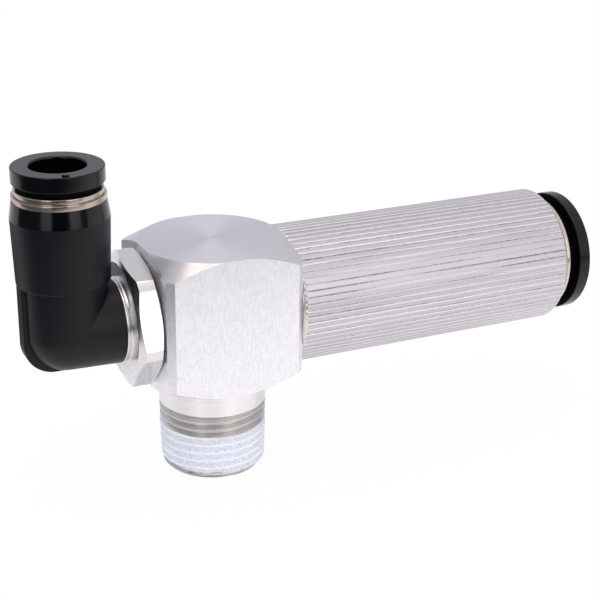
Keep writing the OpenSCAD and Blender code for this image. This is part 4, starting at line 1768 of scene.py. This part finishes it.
def advance(
    tree: bpy.types.NodeTree, point: bpy.types.NodeSocket, way: Corner, reach: Point
) -> bpy.types.NodeSocket:
    """Fades from 0 to 1 with the distance along a direction.

    Args:
        tree: The node tree.
        point: Where the surface is, or which way it lies.
        way: The direction.
        reach: Distances at which the fade is 0 and 1.

    Returns:
        A socket that goes from 0 to 1.
    """
    along = add_node(tree, "ShaderNodeVectorMath", {0: point, 1: way}, operation="DOT_PRODUCT")
    feeds = {"Value": along.outputs["Value"], "From Min": reach[0], "From Max": reach[1]}
    return add_node(tree, "ShaderNodeMapRange", feeds, interpolation_type="SMOOTHSTEP").outputs[0]


@dataclass(frozen=True)
class SoftBox:
    """A soft box that faces the part.

    Attributes:
        name: Name of the lamp.
        azimuth: Degrees from the front, positive to the right.
        elevation: Degrees above the horizon.
        distance: Distance from the part's centre, in metres.
        size: Width and height of the box, in metres.
        radiance: How bright the box looks, where 1 is white.
        colour: sRGB hex colour of its light.
    """

    name: str
    azimuth: float
    elevation: float
    distance: float
    size: Point
    radiance: float
    colour: str = "FFFFFF"

    def hang(self, centre: Vector) -> None:
        """Makes the lamp.

        Args:
            centre: The point that it faces, in metres.
        """
        data = bpy.data.lights.new(self.name, "AREA")
        data.shape = "RECTANGLE"
        data.size, data.size_y = self.size
        data.color = linear(self.colour)[:3]
        data.energy = self.radiance * math.pi * self.size[0] * self.size[1]
        lamp = bpy.data.objects.new(self.name, data)
        turn, rise = math.radians(self.azimuth), math.radians(self.elevation)
        level = math.cos(rise)
        away = Vector((math.sin(turn) * level, -math.cos(turn) * level, math.sin(rise)))
        lamp.location = centre + away * self.distance
        lamp.rotation_mode = "QUATERNION"
        lamp.rotation_quaternion = away.to_track_quat("Z", "Y")
        bpy.context.scene.collection.objects.link(lamp)


SOFT_BOXES = (
    SoftBox("right_softbox", 17.0, 19.0, 0.55, (0.255, 0.42), 1.33),
    SoftBox("left_softbox", -48.3, 19.0, 0.55, (0.245, 0.42), 1.2),
    SoftBox("top_softbox", -40.0, 82.0, 0.6, (0.36, 0.42), 1.7, "FFEBDC"),
)


@dataclass
class Studio:
    """Light tent on a pale table, with a soft box either side of the camera.

    The camera sees white paper and a white tent. Reflected rays see the table,
    with a painted pool of light round the part and its ends painted in shade,
    and the graded walls, which draw the metal's form.

    Attributes:
        floor_z: Height of the floor, in metres.
        centre: The point that the lamps face, in metres.
        floor_half: Half the table's width, in metres.
        card_gap: Distance of the black cloth behind the camera, in metres.
        card_w: Width of the cloth.
        card_h: Height of the cloth.
        bright_way: Direction of the tent's brightest wall.
        dim_way: Direction of its dimmest wall.
        painted_shade_way: Direction of the table's front end, which is painted in shade.
        paper_glow: Share of the paper's own white where the camera sees it.
    """

    floor_z: float
    centre: Vector
    floor_half: float = 3.0
    card_gap: float = 0.012
    card_w: float = 0.14
    card_h: float = 0.3
    bright_way: Corner = (0.62, -0.74, 0.26)
    dim_way: Corner = (-0.985, -0.17, 0.0)
    painted_shade_way: Corner = (-0.62, -0.78, 0.0)
    paper_glow: float = 0.95

    def build(self) -> None:
        """Builds the floor, the world, the cloth and the lamps."""
        self.floor()
        self.world()
        self.card()
        for box in SOFT_BOXES:
            box.hang(self.centre)

    def set_up(
        self, name: str, shape: bmesh.types.BMesh, material: bpy.types.Material
    ) -> bpy.types.Object:
        """Makes an object of the studio, which isn't part of the ejector.

        Args:
            name: Name of the object.
            shape: Its shape in metres, which is freed.
            material: Its material.

        Returns:
            The object.
        """
        mesh = bpy.data.meshes.new(name)
        shape.to_mesh(mesh)
        shape.free()
        mesh.materials.append(material)
        made = bpy.data.objects.new(name, mesh)
        bpy.context.scene.collection.objects.link(made)
        return made

    def card(self) -> None:
        """Hangs a dark cloth behind the camera, between the two soft boxes."""
        eye = bpy.context.scene.camera.matrix_world.translation
        away = (eye - self.centre).xy.normalized()
        across = Vector((-away.y, away.x))
        foot = eye.xy + away * self.card_gap
        shape = bmesh.new()
        for side, height in ((-1, 0), (1, 0), (1, 1), (-1, 1)):
            spot = foot + across * side * self.card_w / 2
            shape.verts.new((spot.x, spot.y, self.floor_z + height * self.card_h))
        shape.faces.new(shape.verts)
        material = new_material("black_cloth")
        tree = material.node_tree
        weave = add_node(tree, "ShaderNodeBsdfDiffuse", {"Color": linear("2A2A2C")})
        add_node(tree, "ShaderNodeOutputMaterial", {"Surface": weave.outputs[0]})
        cloth = self.set_up("camera_cloth", shape, material)
        cloth.visible_camera = False

    def floor(self) -> None:
        """Lays a pale table under the part, with a painted pool of light near it."""
        material = new_material("floor_paper")
        tree = material.node_tree
        point = add_node(tree, "ShaderNodeTexCoord").outputs["Object"]
        # Two ends of the table are painted in shade: one in front on the left, and
        # behind the part a painted shadow of the elbow. Neither comes closer than the
        # painted pool of light round the part.
        outside = nearness(tree, point, (0.035, -0.045, self.floor_z), (0.085, 0.125))
        front = advance(tree, point, self.painted_shade_way, (0.03, 0.07))
        painted_shadow = nearness(tree, point, (-0.045, 0.095, self.floor_z), (0.065, 0.035))
        ends = add_node(tree, "ShaderNodeMath", {0: front, 1: painted_shadow}, operation="MAXIMUM")
        dark = {0: outside, 1: ends.outputs[0]}
        dim = add_node(tree, "ShaderNodeMath", dark, operation="MULTIPLY")
        # Painted pool of light: the paper is paler near the part.
        spread = nearness(tree, point, (0.03, -0.02, self.floor_z), (0.03, 0.09))
        shades = {0: spread, 6: linear("FDFCFF"), 7: linear("ECEBEF")}
        painted_pool = add_node(tree, "ShaderNodeMix", shades, data_type="RGBA")
        # The painted shade and the painted shadow darken the paper at both ends.
        shades = {0: dim.outputs[0], 6: painted_pool.outputs[2], 7: linear("484A50")}
        painted_light_and_shade = add_node(tree, "ShaderNodeMix", shades, data_type="RGBA")
        paper = add_node(tree, "ShaderNodeBsdfDiffuse", {"Color": painted_light_and_shade.outputs[2]})
        plain = add_node(tree, "ShaderNodeBsdfDiffuse", {"Color": linear("F6F5F9")})
        glow = add_node(tree, "ShaderNodeEmission", {"Color": linear("FFFFFF"), "Strength": 1.0})
        feeds = {0: self.paper_glow, 1: plain.outputs[0], 2: glow.outputs[0]}
        seen = add_node(tree, "ShaderNodeMixShader", feeds)
        path = add_node(tree, "ShaderNodeLightPath")
        feeds = {0: path.outputs["Is Camera Ray"], 1: paper.outputs[0], 2: seen.outputs[0]}
        mix = add_node(tree, "ShaderNodeMixShader", feeds)
        add_node(tree, "ShaderNodeOutputMaterial", {"Surface": mix.outputs[0]})
        shape = bmesh.new()
        bmesh.ops.create_grid(shape, x_segments=1, y_segments=1, size=self.floor_half)
        bmesh.ops.translate(shape, vec=(0, 0, self.floor_z), verts=shape.verts)
        floor = self.set_up("floor", shape, material)

    def world(self) -> None:
        """Makes the tent: graded grey in reflections, white for all else."""
        world = bpy.data.worlds.new("tent")
        bpy.context.scene.world = world
        world.use_nodes = True
        tree = world.node_tree
        tree.nodes.clear()
        way = add_node(tree, "ShaderNodeTexCoord").outputs["Generated"]
        bright = advance(tree, way, self.bright_way, (-0.2, 1.0))
        shades = {0: bright, 6: linear("D3D4DA"), 7: linear("EEECEF")}
        grade = add_node(tree, "ShaderNodeMix", shades, data_type="RGBA")
        dim = advance(tree, way, self.dim_way, (0.5, 0.85))
        shades = {0: dim, 6: grade.outputs[2], 7: linear("A8AAB3")}
        walls = add_node(tree, "ShaderNodeMix", shades, data_type="RGBA")
        tent = add_node(tree, "ShaderNodeBackground", {"Color": walls.outputs[2], "Strength": 1.0})
        white = add_node(tree, "ShaderNodeBackground", {"Color": linear("FFFFFF"), "Strength": 1.0})
        path = add_node(tree, "ShaderNodeLightPath")
        feeds = {0: path.outputs["Is Glossy Ray"], 1: white.outputs[0], 2: tent.outputs[0]}
        mix = add_node(tree, "ShaderNodeMixShader", feeds)
        add_node(tree, "ShaderNodeOutputWorld", {"Surface": mix.outputs[0]})


@dataclass
class Viewpoint:
    """The camera, given by where it stands around a point of the part.

    Attributes:
        target: The point that it is aimed from, in metres.
        azimuth: Degrees from the front, positive to the right.
        elevation: Degrees above the horizon.
        roll: Degrees that it is tipped to one side.
        distance: Distance from what it is aimed at, in metres.
        aim_right: How far right of the point it is aimed, in metres.
        aim_up: How far above the point it is aimed, in metres.
        lens: Focal length, in millimetres.
        sensor: Width of the sensor, in millimetres.
    """

    target: Vector
    azimuth: float = -25.451
    elevation: float = 22.071
    roll: float = -0.7551
    distance: float = 223.961 * MM
    aim_right: float = 13.800 * MM
    aim_up: float = 0.672 * MM
    lens: float = 86.414
    sensor: float = 36.0

    def build(self) -> None:
        """Makes the camera the scene's own."""
        turn, rise, roll = (math.radians(x) for x in (-self.azimuth, self.elevation, self.roll))
        right = Vector((math.cos(turn), -math.sin(turn), 0))
        level, lift = math.cos(rise), math.sin(rise)
        up = Vector((math.sin(turn) * lift, math.cos(turn) * lift, level))
        forward = Vector((math.sin(turn) * level, math.cos(turn) * level, -lift))
        rolled_right = right * math.cos(roll) - up * math.sin(roll)
        rolled_up = right * math.sin(roll) + up * math.cos(roll)
        data = bpy.data.cameras.new("camera")
        data.sensor_width = self.sensor
        data.lens = self.lens
        data.clip_start, data.clip_end = 0.01, 20
        camera = bpy.data.objects.new("camera", data)
        turned = Matrix((rolled_right, rolled_up, -forward)).transposed()
        aim = self.target + rolled_right * self.aim_right + rolled_up * self.aim_up
        camera.matrix_world = Matrix.Translation(aim - forward * self.distance) @ turned.to_4x4()
        bpy.context.scene.collection.objects.link(camera)
        bpy.context.scene.camera = camera


def main() -> None:
    """Builds the scene piece by piece."""
    logging.basicConfig(level=logging.INFO, format="%(name)s: %(message)s")
    bpy.context.scene.view_settings.view_transform = "Standard"
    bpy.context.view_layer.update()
    low, high = box_mm("ejector_body")
    axis_z = high.z - high.x
    crossing = Vector((0, 0, axis_z))
    Viewpoint(crossing * MM).build()
    Studio(low.z * MM, crossing * MM).build()

    Block(low.z, high.z, high.x, axis_z, TaperThread()).build()
    sleeve_low, sleeve_high = box_mm("exhaust_sleeve")
    seal_x = box_mm("exhaust_seal")[0].x - 0.05
    Sleeve(axis_z, sleeve_low.x, high.x, sleeve_high.x, seal_x).build()
    stem_low, stem_high = box_mm("swivel_stem")
    Stem(axis_z, low.x, stem_high.x, stem_low.x).build()
    elbow_high = box_mm("elbow_housing")[1]
    guide_low, guide_high = box_mm("supply_guide_ring")
    leg_x = (guide_low.x + guide_high.x) / 2
    mouth = Matrix.Translation((leg_x, 0, elbow_high.z))
    outlet = along_ejector(axis_z, sleeve_high.x)
    # Warm bright nickel plate, darkened with painted shade: narrow light and dark bands round the ring.
    nickel = TurnedMetal("shaded_nickel_guide", "BFB2A8", 0.22, 0.75, Axis.PORT, crossing, 0.25, 0.001, 0.08)
    outlet_nickel = TurnedMetal(
        "nickel_outlet", "D9CFC4", 0.2, 0.75, Axis.EJECTOR, crossing, 0.25, 0.001, 0.08
    )
    # Polished mould, acetal: black with one clear light on its rim.
    gloss = MouldedPlastic("release_resin", "030407", 0.2, 0.36).build()
    # The same resin in the shade of the flange: a copy whose low gloss is painted shade, a black that
    # gives no light.
    matt = MouldedPlastic("shaded_resin", "040406", 0.7, 0.06).build()
    PushIn(
        name="supply",
        carrier="elbow",
        place=mouth,
        tip=box_mm("supply_release_ring")[0].z - elbow_high.z,
        bore_r=4.16,
        collar_r=4.95,
        shoulder_r=6.1,
        flange_r=6.79,
        flange_t=2.33,
        stroke=0.9,
        guide_h=1.63,
        top_r=6.55,
        band_r=6.9,
        skirt_r=6.17,
        skirt_l=3.4,
    ).build(nickel.build(), gloss, matt)
    PushIn(
        name="exhaust",
        carrier="ejector",
        place=outlet,
        tip=box_mm("exhaust_release_ring")[0].x - sleeve_high.x,
        bore_r=6.16,
        collar_r=7.3,
        shoulder_r=8.4,
        flange_r=9.96,
        flange_t=2.0,
        stroke=1.55,
        guide_h=1.4,
        top_r=9.5,
        band_r=9.75,
        skirt_r=8.87,
        skirt_l=4.0,
        gate_turn=90.0,
    ).build(outlet_nickel.build(), gloss, matt)
    Elbow(Vector((leg_x, 0, axis_z)), elbow_high.x - leg_x, elbow_high.z - axis_z).build()

    # Plain turned brass: warm and a little dull.
    brass = TurnedMetal("turned_brass", "C8AA60", 0.3, 0.3, Axis.EJECTOR, crossing)
    dress(["nozzle"], brass.build())
    # Plain turned aluminium: greyer than the block outside.
    plain = TurnedMetal("bore_aluminium", "D6D6D8", 0.32, 0.3, Axis.EJECTOR, crossing)
    dress(["diffuser"], plain.build())
    # Stamped spring steel: grey, the same all round.
    steel = TurnedMetal("spring_steel", "B8B8BA", 0.3, 0.0, Axis.PORT, crossing)
    dress(["supply_lock_claws", "exhaust_lock_claws"], steel.build())
    # Moulded nitrile rubber: a matt black.
    rubber = MouldedPlastic("black_rubber", "1B1B1C", 0.6)
    rings = ["nozzle_o_ring", "diffuser_o_ring", "swivel_o_ring"]
    dress(["stem_gasket", *rings, "supply_seal", "exhaust_seal"], rubber.build())


if __name__ == "__main__":
    main()
